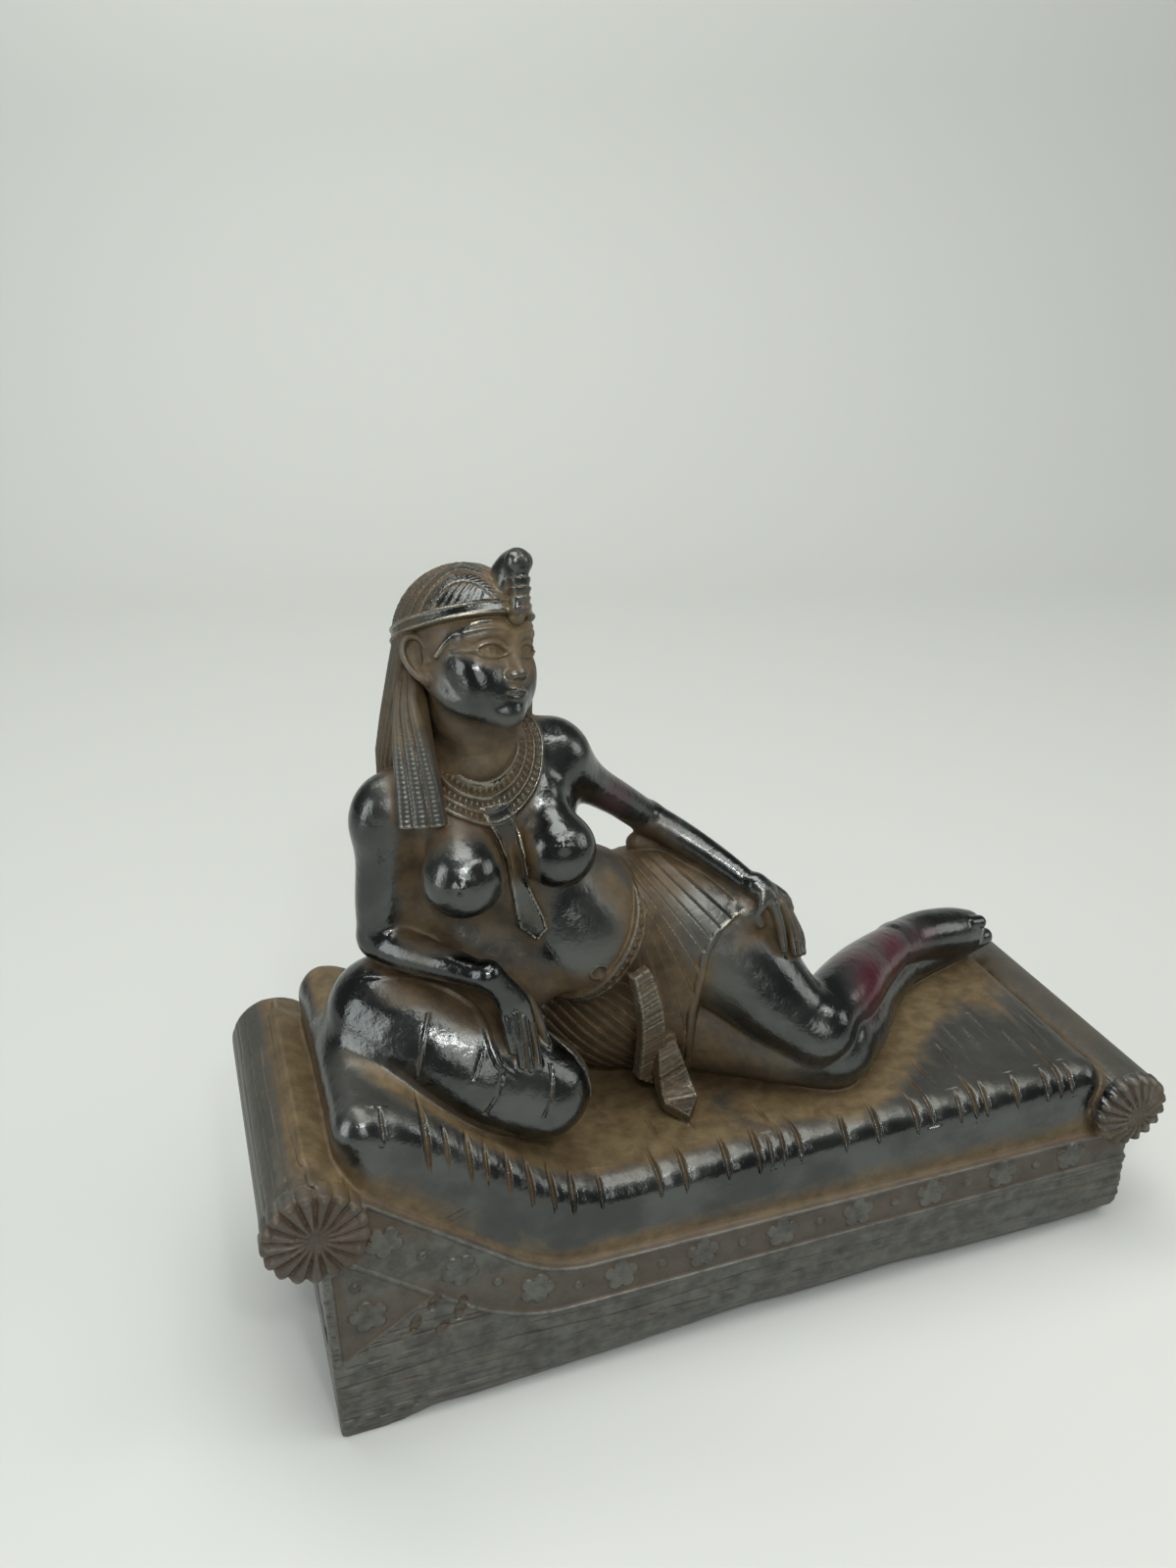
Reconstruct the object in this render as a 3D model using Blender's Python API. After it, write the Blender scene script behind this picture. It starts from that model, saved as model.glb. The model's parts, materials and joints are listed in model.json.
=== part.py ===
"""Reclining Egyptian queen on a scrolled couch: one small resin casting.

Built as one body. Every form is a distance function of named sizes; the shape is drawn off on a grid and
finished with Blender's own modifiers. Lengths in the tables are millimetres on the couch's own corner;
ORIGIN moves them to the foot of the piece, and the mesh is in metres.
"""

import math

import bpy
import numpy as np


F = np.float32
BIG = F(60.0)


# ---------------------------------------------------------------- vectors
def unit(v):
    v = np.array(v, float)
    return v / np.linalg.norm(v)


def basis(left, up):
    """Columns: left, front, up of a body part. Front is left x up."""
    u = unit(up)
    l = np.array(left, float)
    l = unit(l - u * (l @ u))
    return np.stack([l, np.cross(l, u), u], 1)


def turn(axis, degrees):
    a, t = unit(axis), math.radians(degrees)
    k = np.array([[0, -a[2], a[1]], [a[2], 0, -a[0]], [-a[1], a[0], 0]])
    return np.eye(3) + math.sin(t) * k + (1 - math.cos(t)) * (k @ k)


# ---------------------------------------------------------------- distance functions
def smin(a, b, k):
    h = np.maximum(k - np.abs(a - b), 0) / k
    return np.minimum(a, b) - h * h * (k * 0.25)


def smax(a, b, k):
    h = np.maximum(k - np.abs(a - b), 0) / k
    return np.maximum(a, b) + h * h * (k * 0.25)


def step(e0, e1, x):
    t = np.clip((x - e0) / (e1 - e0), 0, 1)
    return t * t * (3 - 2 * t)


def bump(x, w):
    """1 at x = 0, falling smoothly to 0 at |x| = w."""
    t = np.clip(1 - np.abs(x) / w, 0, 1)
    return t * t * (3 - 2 * t)


def local(P, c, B):
    return (P - np.asarray(c, F)) @ np.asarray(B, F)


def ell(P, c, r, B=None):
    q = P - np.asarray(c, F) if B is None else local(P, c, B)
    r = np.asarray(r, F)
    k0 = np.sqrt(((q / r) ** 2).sum(1))
    k1 = np.sqrt(((q / (r * r)) ** 2).sum(1)) + F(1e-9)
    return k0 * (k0 - 1) / k1


def cone(P, a, b, ra, rb):
    """A round cone: two spheres and the skin over them."""
    a, b = np.asarray(a, F), np.asarray(b, F)
    ba = b - a
    l2 = float(ba @ ba)
    rr = ra - rb
    a2 = l2 - rr * rr
    if a2 <= 0:
        c, r = (a, ra) if ra > rb else (b, rb)
        return np.sqrt(((P - c) ** 2).sum(1)) - F(r)
    il2 = 1 / l2
    pa = P - a
    y = pa @ ba
    z = y - l2
    w = pa * F(l2) - y[:, None] * ba
    x2 = (w * w).sum(1)
    y2, z2 = y * y * l2, z * z * l2
    k = np.sign(rr) * rr * rr * x2
    out = (np.sqrt(x2 * a2 * il2) + y * rr) * il2 - ra
    m1 = np.sign(z) * a2 * z2 > k
    m2 = ~m1 & (np.sign(y) * a2 * y2 < k)
    out[m1] = np.sqrt(x2[m1] + z2[m1]) * il2 - rb
    out[m2] = np.sqrt(x2[m2] + y2[m2]) * il2 - ra
    return out.astype(F)


def spline(stations, n=4):
    """Catmull-Rom through rows of numbers (any columns)."""
    s = np.array(stations, float)
    s = np.vstack([2 * s[0] - s[1], s, 2 * s[-1] - s[-2]])
    out = []
    for i in range(1, len(s) - 2):
        p0, p1, p2, p3 = s[i - 1 : i + 3]
        for t in np.arange(n) / n:
            out.append(
                0.5
                * (
                    2 * p1
                    + (p2 - p0) * t
                    + (2 * p0 - 5 * p1 + 4 * p2 - p3) * t * t
                    + (3 * p1 - p0 - 3 * p2 + p3) * t**3
                )
            )
    out.append(s[-2])
    return np.array(out)


def limb(P, stations, n=4, k=0.0):
    """A chain of round cones through (x, y, z, r) rows."""
    s = spline(stations, n) if n > 1 else np.array(stations, float)
    d = None
    for a, b in zip(s[:-1], s[1:]):
        e = cone(P, a[:3], b[:3], a[3], b[3])
        d = e if d is None else (np.minimum(d, e) if k == 0 else smin(d, e, k))
    return d


def box_of(stations):
    s = np.array(stations, float)
    r = s[:, 3:4]
    return (s[:, :3] - r).min(0) - 2, (s[:, :3] + r).max(0) + 2


class Points:
    """Points sorted into cells of 16 mm, so that a small shape is only worked out near itself."""

    CELL = 16.0

    def __init__(self, P):
        self.P = np.ascontiguousarray(P, F)
        self.lo = self.P.min(0) - 1
        ijk = ((self.P - self.lo) / self.CELL).astype(np.int64)
        self.n = ijk.max(0) + 1
        key = (ijk[:, 0] * self.n[1] + ijk[:, 1]) * self.n[2] + ijk[:, 2]
        self.order = np.argsort(key, kind="stable")
        self.P = self.P[self.order]
        self.start = np.searchsorted(
            key[self.order], np.arange(int(np.prod(self.n)) + 1)
        )

    def near(self, lo, hi):
        a = np.clip(((np.asarray(lo) - self.lo) / self.CELL).astype(int), 0, self.n - 1)
        b = np.clip(((np.asarray(hi) - self.lo) / self.CELL).astype(int), 0, self.n - 1)
        if (np.asarray(hi) < self.lo).any() or (
            np.asarray(lo) > self.lo + self.n * self.CELL
        ).any():
            return None
        runs = []
        for i in range(a[0], b[0] + 1):
            for j in range(a[1], b[1] + 1):
                base = (i * self.n[1] + j) * self.n[2]
                s, e = self.start[base + a[2]], self.start[base + b[2] + 1]
                if e > s:
                    runs.append(np.arange(s, e))
        if not runs:
            return None
        idx = np.concatenate(runs)
        Q = self.P[idx]
        m = ((Q > np.asarray(lo, F)) & (Q < np.asarray(hi, F))).all(1)
        idx = idx[m]
        return idx if len(idx) else None

    def restore(self, v):
        out = np.empty_like(v)
        out[self.order] = v
        return out


class Layer:
    """One distance value per point, built up shape by shape."""

    def __init__(self, pts, margin=5.0):
        self.pts, self.margin = pts, margin
        self.d = np.full(len(pts.P), BIG, F)

    def put(self, fn, lo, hi, k=0.0, op="add"):
        m = self.margin + k
        idx = self.pts.near(np.asarray(lo, float) - m, np.asarray(hi, float) + m)
        if idx is None:
            return
        v = fn(self.pts.P[idx]).astype(F)
        d = self.d[idx]
        if op == "add":
            self.d[idx] = smin(d, v, k) if k > 0 else np.minimum(d, v)
        elif op == "cut":
            self.d[idx] = smax(d, -v, k) if k > 0 else np.maximum(d, -v)
        elif op == "keep":
            self.d[idx] = smax(d, v, k) if k > 0 else np.maximum(d, v)
        elif op == "shift":
            self.d[idx] = d + v

    def ell(self, c, r, B=None, k=0.0, op="add"):
        R = max(r)
        c = np.asarray(c, float)
        self.put(lambda P: ell(P, c, r, B), c - R, c + R, k, op)

    def limb(self, stations, k=0.0, n=4, op="add"):
        lo, hi = box_of(stations)
        self.put(lambda P: limb(P, stations, n), lo, hi, k, op)


# ---------------------------------------------------------------- polygoniser
CORNERS = [(i, j, k) for i in (0, 1) for j in (0, 1) for k in (0, 1)]
EDGES = [
    (a, b)
    for a in range(8)
    for b in range(a + 1, 8)
    if sum(abs(x - y) for x, y in zip(CORNERS[a], CORNERS[b])) == 1
]


def sample(field, lo, hi, h, coarse=8, slack=1.35):
    """Field values on a grid of pitch h between lo and hi, worked out only in blocks that the surface may cross."""
    lo = np.asarray(lo, float)
    n = np.ceil((np.asarray(hi, float) - lo) / h / coarse).astype(int)
    H = h * coarse
    axes = [lo[a] + H * np.arange(n[a] + 1) for a in range(3)]
    G = np.stack(np.meshgrid(*axes, indexing="ij"), -1).reshape(-1, 3).astype(F)
    V0 = field(G).reshape(n + 1)
    C = np.stack(
        [
            V0[i : i + n[0], j : j + n[1], k : k + n[2]]
            for i, j, k in CORNERS
        ]
    )
    centre = (
        lo + H * (np.stack(np.meshgrid(*[np.arange(m) for m in n], indexing="ij"), -1) + 0.5)
    ).reshape(-1, 3)
    Vc = field(centre.astype(F)).reshape(n)
    active = (np.abs(Vc) < slack * H * 0.87) | (C.min(0) * C.max(0) <= 0)
    fine = n * coarse + 1
    sign = np.where(Vc < 0, F(-BIG), F(BIG))
    V = np.full(fine, BIG, F)
    core = np.repeat(np.repeat(np.repeat(sign, coarse, 0), coarse, 1), coarse, 2)
    V[:-1, :-1, :-1] = core
    V[-1] = V[-2]
    V[:, -1] = V[:, -2]
    V[:, :, -1] = V[:, :, -2]
    bi = np.argwhere(active)
    o = np.arange(coarse + 1)
    off = np.stack(np.meshgrid(o, o, o, indexing="ij"), -1).reshape(-1, 3)
    need = np.zeros(fine, bool)
    for s in range(0, len(bi), 4096):
        g = (bi[s : s + 4096, None, :] * coarse + off).reshape(-1, 3)
        need[g[:, 0], g[:, 1], g[:, 2]] = True
    idx = np.argwhere(need)
    vals = np.empty(len(idx), F)
    for s in range(0, len(idx), 2000000):
        part = idx[s : s + 2000000]
        vals[s : s + len(part)] = field((lo + h * part).astype(F))
    V[idx[:, 0], idx[:, 1], idx[:, 2]] = vals
    return V, lo


def fill_voids(V):
    """Makes solid every pocket that the open air can't reach."""
    air = V >= 0
    out = np.zeros_like(air)
    out[0], out[-1] = air[0], air[-1]
    while True:
        before = np.count_nonzero(out)
        for axis in range(3):
            a, o = np.moveaxis(air, axis, 0), np.moveaxis(out, axis, 0)
            for i in range(1, len(a)):
                o[i] |= o[i - 1] & a[i]
            for i in range(len(a) - 2, -1, -1):
                o[i] |= o[i + 1] & a[i]
        if np.count_nonzero(out) == before:
            break
    shut = air & ~out
    V[shut] = -V[shut] - F(0.01)
    return V


def part_touches(V):
    """Fills the few grid corners where two walls would meet along one line or at one point."""
    tiny = F(0.02)
    for _ in range(12):
        found = 0
        inside = V < 0
        for axis in range(3):
            u, w = (axis + 1) % 3, (axis + 2) % 3

            def at(A, i, j):
                cut = [slice(None)] * 3
                cut[u] = slice(i, A.shape[u] - 1 + i)
                cut[w] = slice(j, A.shape[w] - 1 + j)
                return A[tuple(cut)]

            a, b, c, d = (at(inside, *ij) for ij in ((0, 0), (1, 0), (1, 1), (0, 1)))
            for p, q, offs in (((a & c) & ~(b | d), None, ((1, 0), (0, 1))), ((b & d) & ~(a | c), None, ((0, 0), (1, 1)))):
                cells = np.argwhere(p)
                found += len(cells)
                if not len(cells):
                    continue
                pick = []
                for i, j in offs:
                    g = cells.copy()
                    g[:, u] += i
                    g[:, w] += j
                    pick.append(g)
                v = [V[g[:, 0], g[:, 1], g[:, 2]] for g in pick]
                g = np.where((v[0] < v[1])[:, None], pick[0], pick[1])
                V[g[:, 0], g[:, 1], g[:, 2]] = -tiny
        inside = V < 0
        n = np.array(V.shape) - 1
        cnt = np.zeros(n, np.uint8)
        for i, j, k in CORNERS:
            cnt += inside[i : i + n[0], j : j + n[1], k : k + n[2]]
        for i, j, k in CORNERS[:4]:
            p = inside[i : i + n[0], j : j + n[1], k : k + n[2]]
            q = inside[1 - i : 1 - i + n[0], 1 - j : 1 - j + n[1], 1 - k : 1 - k + n[2]]
            lone = (cnt == 2) & p & q
            hole = (cnt == 6) & ~p & ~q
            for mask, value in ((lone, tiny), (hole, -tiny)):
                g = np.argwhere(mask)
                found += len(g)
                if len(g):
                    V[g[:, 0] + i, g[:, 1] + j, g[:, 2] + k] = value
        if not found:
            break
    return V


def surface_nets(V, lo, h):
    """(points, quads) of the zero level of V."""
    inside = V < 0
    n = np.array(V.shape) - 1
    cnt = np.zeros(n, np.uint8)
    for i, j, k in CORNERS:
        cnt += inside[i : i + n[0], j : j + n[1], k : k + n[2]]
    active = (cnt > 0) & (cnt < 8)
    cells = np.argwhere(active)
    index = np.full(n, -1, np.int32)
    index[active] = np.arange(len(cells), dtype=np.int32)
    vals = np.stack(
        [V[cells[:, 0] + i, cells[:, 1] + j, cells[:, 2] + k] for i, j, k in CORNERS], 1
    )
    acc = np.zeros((len(cells), 3))
    num = np.zeros(len(cells))
    corner = np.array(CORNERS, float)
    for a, b in EDGES:
        va, vb = vals[:, a], vals[:, b]
        m = (va < 0) != (vb < 0)
        t = va[m] / (va[m] - vb[m])
        acc[m] += corner[a] + t[:, None] * (corner[b] - corner[a])
        num[m] += 1
    pts = lo + h * (cells + acc / num[:, None])
    quads = []
    for axis in range(3):
        b, c = (axis + 1) % 3, (axis + 2) % 3
        sl0 = [slice(None)] * 3
        sl1 = [slice(None)] * 3
        sl0[axis], sl1[axis] = slice(0, -1), slice(1, None)
        s0, s1 = inside[tuple(sl0)], inside[tuple(sl1)]
        e = np.argwhere(s0 != s1)
        e = e[(e[:, b] > 0) & (e[:, c] > 0) & (e[:, b] < n[b]) & (e[:, c] < n[c])]
        first = s0[e[:, 0], e[:, 1], e[:, 2]]
        ring = []
        for db, dc in ((-1, -1), (0, -1), (0, 0), (-1, 0)):
            q = e.copy()
            q[:, b] += db
            q[:, c] += dc
            ring.append(index[q[:, 0], q[:, 1], q[:, 2]])
        ring = np.stack(ring, 1)
        ring[~first] = ring[~first][:, ::-1]
        quads.append(ring)
    return pts, np.concatenate(quads)


def largest(pts, quads):
    """The biggest connected surface: drops any bubble shut in between the forms."""
    label = np.arange(len(pts))
    a, b = quads[:, [0, 1, 2]].ravel(), quads[:, [1, 2, 3]].ravel()
    while True:
        m = np.minimum(label[a], label[b])
        new = label.copy()
        np.minimum.at(new, a, m)
        np.minimum.at(new, b, m)
        new = new[new]
        new = new[new]
        if (new == label).all():
            break
        label = new
    names, count = np.unique(label, return_counts=True)
    keep = label == names[np.argmax(count)]
    index = np.cumsum(keep) - 1
    return pts[keep], index[quads[keep[quads[:, 0]]]]


# ---------------------------------------------------------------- named sizes, millimetres
# x runs along the couch, y to the back, z up, from the couch's front left lower corner.
COUCH_LENGTH = 190.0
COUCH_DEPTH = 65.0
CREST_FLAT = 30.2  # top of the carved band along the flat part
CREST_SLOPE = -0.83  # and its slope at the head end
CREST_SLOPE_AT_0 = 68.6
BAND_FLAT = 19.9  # foot of the carved band
BAND_SLOPE_AT_0 = 51.2
HEAD_SCROLL = (0.0, 56.7, 10.3)  # x, z, radius
FOOT_SCROLL = (187.9, 34.5, 9.45)
SCROLL_OVERHANG = 3.0
PETALS = 17
MATTRESS_TOP = 47.0
MATTRESS_SLOPE_AT_0 = 92.5
MATTRESS_HEAD_TOP = 77.5
MATTRESS_ENDS = (6.0, 182.5)
MATTRESS_FACES = (1.9, 62.6)
MATTRESS_ROUND = 6.2
FLOWER_PITCH = 18.7
# the mattress's gathers, rows of x, reach over the top, drop down the front, half width, depth
GATHERS = (
    (15.4, 5, 4, 0.6, 0.7), (23.0, 14, 9, 0.9, 1.0), (26.8, 6, 5, 0.6, 0.7), (31.2, 8, 6, 0.8, 0.9), (34.4, 7, 5, 0.6, 0.8),
    (38.4, 7, 5, 0.7, 0.9), (42.8, 8, 6, 0.8, 1.0), (47.6, 9, 6, 0.8, 1.0), (51.8, 8, 7, 0.9, 1.0), (57.5, 7, 5, 0.8, 0.9),
    (70.6, 13, 6, 0.9, 1.1), (76.9, 12, 6, 0.9, 1.1), (86.8, 11, 5, 0.9, 1.1), (94.0, 12, 6, 1.0, 1.2), (96.9, 6, 4, 0.6, 0.8),
    (99.6, 12, 5, 0.6, 0.9), (103.2, 12, 4, 0.8, 1.1), (114.5, 8, 5, 0.9, 1.2), (122.0, 10, 5, 1.0, 1.2), (131.8, 9, 5, 1.0, 1.2),
    (135.8, 20, 3, 0.7, 0.8), (143.3, 6, 5, 0.8, 1.0), (147.2, 14, 5, 0.9, 1.1), (150.2, 8, 5, 0.9, 1.1), (158.4, 7, 5, 0.9, 1.1),
    (166.0, 7, 5, 0.9, 1.0), (169.5, 20, 5, 0.8, 0.9), (172.4, 7, 4, 0.7, 0.8),
)
# long shallow strokes on its top, rows of x, first y, last y, half width, depth
STROKES = (
    (140.2, 8.5, 21.5, 0.8, 0.6), (148.0, 11.5, 24.5, 0.8, 0.6), (157.3, 17.5, 27.5, 0.8, 0.5), (153.0, 13.0, 34.0, 0.9, 0.4),
    (165.8, 12.0, 24.0, 0.8, 0.5), (162.0, 20.0, 38.0, 0.9, 0.4), (173.6, 12.0, 30.0, 0.8, 0.5), (176.5, 20.0, 44.0, 0.8, 0.5),
    (98.6, 7.5, 18.5, 0.7, 0.6), (74.4, 14.0, 24.5, 0.8, 0.6), (83.0, 13.0, 18.0, 0.6, 0.4), (108.5, 9.0, 14.0, 0.6, 0.4),
)

HEAD_AT = np.array([43.6, 34.0, 154.8])
HEAD_SIZE = 1.13
HEAD_TURN = 28.0  # degrees to the figure's left
HEAD_BACK = 16.0  # degrees that the chin is lifted
HEAD_LEAN = 15.0  # degrees to the figure's left

CHEST_AT = np.array([47.0, 35.0, 117.5])
CHEST_UP = (-0.33, 0.03, 0.94)
CHEST_LEFT = (1.0, 0.06, 0.38)
WAIST_AT = np.array([57.0, 35.5, 99.0])
PELVIS_AT = np.array([76.5, 42.5, 75.2])
PELVIS_UP = (-0.80, -0.14, 0.58)
PELVIS_LEFT = (0.55, 0.14, 0.82)
BELT_AT = np.array([67.4, 34.5, 91.4])
BELT_UP = unit((-0.73, -0.24, 0.64))
PLEAT_POLE = (65.0, 115.0)  # x, z that the kilt's pleats spread from
PLEAT_STEP = 4.5  # degrees
HEM_WAY = unit((0.81, -0.44, -0.39))
NAVEL = (64.2, 20.4, 86.7)

# rows of x, y, z, radius
RIGHT_UPPER_ARM = [(25.6, 33.6, 125.8, 5.7), (24.2, 34.0, 117, 5.0), (22.6, 34.6, 106, 4.7), (22.0, 34.8, 97.5, 4.4)]
RIGHT_FOREARM = [(22.2, 34.4, 96.0, 4.4), (26.5, 28.5, 95.4, 4.0), (33.0, 20.6, 95.8, 3.4), (39.0, 14.6, 95.2, 2.6)]
LEFT_UPPER_ARM = [(62.0, 35.5, 129.2, 5.5), (69.0, 39.6, 121.0, 4.3), (77.0, 43.8, 113.8, 3.8), (84.2, 47.0, 107.0, 3.7)]
LEFT_FOREARM = [(84.6, 47.0, 106.8, 3.8), (91.5, 41.5, 102.8, 3.4), (98.0, 35.5, 98.4, 2.9), (103.4, 30.0, 94.0, 2.4)]
LEFT_THIGH = [(82.0, 42.0, 84.0, 15.0), (92.0, 37.5, 80.4, 13.9), (101.0, 32.0, 74.2, 12.1), (107.3, 26.0, 66.9, 10.1), (114.0, 20.6, 60.9, 8.0)]
LEFT_SHIN = [(116.0, 21.6, 61.8, 7.8), (121.5, 25.2, 62.4, 8.0), (128.5, 30.5, 62.6, 7.8), (136.0, 37.0, 61.6, 7.0), (144.5, 43.4, 60.4, 6.0), (152.0, 49.0, 58.8, 5.2)]
LEFT_FOOT = [(152.5, 49.2, 58.4, 5.5), (158.5, 52.2, 57.0, 6.1), (164.5, 53.8, 56.2, 6.4), (172.0, 55.4, 54.8, 6.2), (177.4, 56.4, 53.8, 5.2)]
RIGHT_THIGH = [(74.0, 48.0, 59.5, 12.6), (88.0, 42.0, 57.4, 12.0), (100.0, 34.0, 56.0, 10.8), (111.0, 26.0, 55.2, 9.9), (119.0, 22.4, 54.6, 9.6)]
RIGHT_SHIN = [(120.5, 22.8, 54.4, 9.6), (129.0, 29.0, 53.6, 8.8), (139.0, 38.5, 52.6, 7.4), (150.0, 47.0, 51.4, 6.0)]
RIGHT_FOOT = [(152.0, 49.0, 51.2, 5.6), (162.0, 52.5, 50.6, 5.0), (173.0, 55.0, 50.4, 4.2), (184.0, 56.6, 50.0, 2.4)]
BOLSTER = [(21.5, 33.0, 79.5, 12.0), (29.0, 26.0, 76.0, 13.0), (39.0, 20.2, 70.5, 12.6), (49.5, 17.2, 64.5, 10.6)]
# on the bolster: the fold that the arm and hand raise, and creases below it, rows of x, y, z, 0
FOLD = [(12.0, 33.0, 89.0, 0), (18.9, 29.4, 90.6, 0), (27.5, 27.0, 89.5, 0), (33.2, 23.1, 88.7, 0), (37.2, 19.8, 85.5, 0), (38.4, 14.7, 82.8, 0), (39.3, 9.9, 78.1, 0), (43.7, 8.4, 73.6, 0)]
CREASES = (
    [(27.9, 18.6, 86.6, 0), (26.0, 15.4, 83.0, 0), (24.1, 13.6, 75.8, 0)],
    [(36.6, 11.5, 80.0, 0), (34.3, 9.5, 76.1, 0)],
    [(39.9, 8.8, 76.4, 0), (38.4, 7.4, 72.4, 0), (35.9, 8.6, 68.1, 0)],
    [(50.3, 10.9, 74.6, 0), (49.4, 8.2, 70.0, 0), (47.3, 6.7, 65.2, 0)],
)
# rows of x, y, z, half width of the two hanging sash ends; each closes to a point
SASH_A = [(72.2, 19.2, 86.0, 2.2), (73.6, 19.0, 80.6, 2.6), (75.0, 20.2, 74.4, 2.9), (76.0, 22.2, 67.6, 3.1), (77.2, 26.0, 58.5, 3.4), (77.6, 27.6, 54.6, 3.5), (78.2, 28.4, 50.6, 0.2)]
SASH_B = [(79.8, 25.6, 66.0, 1.8), (80.6, 24.8, 60.0, 3.0), (81.6, 25.0, 54.6, 3.7), (82.4, 24.2, 50.6, 4.1), (82.5, 21.0, 48.7, 4.2), (82.5, 16.0, 47.9, 0.2)]


# ---------------------------------------------------------------- couch
def crest(x):
    return smax(CREST_SLOPE_AT_0 + CREST_SLOPE * x, CREST_FLAT - 0.012 * (x - 60), 7.0)


def band_foot(x):
    return smax(BAND_SLOPE_AT_0 + CREST_SLOPE * x, BAND_FLAT, 10.0)


def mattress_top(x):
    z = smax(MATTRESS_SLOPE_AT_0 - 0.87 * x, MATTRESS_TOP - 0.008 * (x - 90), 9.0)
    return smin(z, MATTRESS_HEAD_TOP, 7.0)


def lean(fn, x):
    """Cosine of a profile's slope, which turns its height into a distance."""
    s = (fn(x + 0.5) - fn(x - 0.5)).astype(F)
    return 1 / np.sqrt(1 + s * s)


def hash1(i):
    v = np.sin(np.asarray(i, float) * 127.1 + 11.7) * 43758.5453
    return (v - np.floor(v)).astype(F)


def wave(x, seed, scale):
    """Smooth one-dimensional noise between -1 and 1."""
    x = x / scale
    i = np.floor(x)
    t = x - i
    t = t * t * (3 - 2 * t)
    return ((1 - t) * hash1(i + seed * 57) + t * hash1(i + 1 + seed * 57)) * 2 - 1


def band_points():
    """Centres of the ornaments along the carved band, with the band's angle there."""
    out = []
    x = 12.6
    turn_at, s, n = None, 0.0, 0
    while x < 181:
        z = 0.5 * (crest(np.array(x)) + band_foot(np.array(x)))
        z2 = 0.5 * (crest(np.array(x + 0.1)) + band_foot(np.array(x + 0.1)))
        if s <= 0:
            out.append((x, float(z), math.atan2(float(z2 - z), 0.1), n % 2))
            n += 1
            s += FLOWER_PITCH / 2
        s -= math.hypot(0.1, float(z2 - z))
        x += 0.1
    return out


def flower(dx, dz, a, r, petals, height):
    rho = np.sqrt(dx * dx + dz * dz)
    th = np.arctan2(dz, dx) - a
    edge = r * (0.60 + 0.40 * np.abs(np.cos(0.5 * petals * th)) ** 0.6)
    return height * step(0.3, -0.3, rho - edge) * (1 - 0.35 * bump(rho - 0.22 * r, 0.22 * r))


def stud(dx, dz, r, height):
    q = 1 - (dx * dx + dz * dz) / (r * r)
    return height * np.sqrt(np.clip(q, 0, 1))


def front_relief(x, z, fine):
    """How far the couch's front face stands proud of its plane."""
    h = np.zeros_like(x)
    c, b = crest(x), band_foot(x)
    cl, bl = lean(crest, x), lean(band_foot, x)
    top, foot = (c - z) * cl, (z - b) * bl
    band = step(-0.4, 0.3, foot)
    # the band is sunk between two raised edges
    h += band * (-0.55 + 0.75 * bump(top - 0.5, 1.0)) + 0.45 * bump(foot, 0.7)
    for ox, oz, a, kind in band_points():
        dx, dz = x - ox, z - oz
        m = np.abs(dx) + np.abs(dz) < 7
        if not m.any():
            continue
        if kind == 0:
            h[m] += flower(dx[m], dz[m], a + math.pi / 2, 3.9, 5, 0.6)
        else:
            h[m] += stud(dx[m], dz[m], 1.15, 0.75)
    # the sunk corner panel under the sweep, with its stud and its leaf
    px0, pz0 = 2.0, 21.0
    slope = (b - 1.2 - z) * bl
    corner = np.minimum(np.minimum(x - px0, slope), (z - pz0 - (x - px0) * 0.62) * 0.85)
    h -= 0.7 * step(-0.2, 0.5, corner)
    h += stud(x - 6.2, z - 39.5, 1.1, 0.7)
    h += flower(x - 8.2, z - 31.6, 0.5, 4.0, 5, 0.65)
    # beside it, oval hollows between diagonal stalks
    for ox, oz, rx, rz, a in ((21.5, 31.2, 1.3, 2.6, -0.5), (26.6, 27.6, 1.3, 3.0, -0.35), (17.2, 26.4, 1.2, 2.6, -0.3), (22.6, 23.6, 1.2, 2.2, -0.7)):
        ca, sa = math.cos(a), math.sin(a)
        u, v = (x - ox) * ca + (z - oz) * sa, -(x - ox) * sa + (z - oz) * ca
        q = np.sqrt((u / rx) ** 2 + (v / rz) ** 2)
        h -= 0.7 * step(1.15, 0.6, q)
    if fine:
        # long strokes of grain on the plain part below the band
        plain = step(0.3, 1.2, -foot) * step(0.0, -0.8, corner)
        zz = z + 0.9 * wave(x, 3, 31) + 0.05 * x * 0
        g = np.abs(wave(zz + 0.25 * wave(x, 9, 9), 5, 1.25)) * (0.6 + 0.4 * wave(x + zz * 9, 6, 17))
        h -= plain * (0.34 * step(0.32, 0.0, g) + 0.12 * (1 + wave(zz, 8, 0.7)))
    return h.astype(F)


def end_relief(y, z, fine, seed):
    """The end faces: a sunk panel with upright flutes."""
    y0, y1, z0, z1 = 6.0, 59.0, 15.0, 43.0
    inside = np.minimum(np.minimum(y - y0, y1 - y), np.minimum(z - z0, z1 - z))
    h = -0.8 * step(-0.2, 0.6, inside)
    h = h + step(0.5, 1.5, inside) * 0.6 * (0.5 + 0.5 * np.cos((y - 6) * 2 * math.pi / 6.625 + math.pi))
    if fine:
        g = np.abs(wave(z + 0.6 * wave(y, seed, 25), seed + 4, 1.3))
        h = h - step(0.2, -0.6, inside) * 0.3 * step(0.3, 0.0, g)
    return h.astype(F)


def lower_edge(x):
    """Height to which the rounded lower front edge is drawn up."""
    z = 3.2 * step(8, 22, x) + 3.4 * step(36, 100, x) - 1.4 * step(125, 186, x)
    return z + 0.5 * wave(x, 21, 13) * step(15, 30, x)


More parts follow.
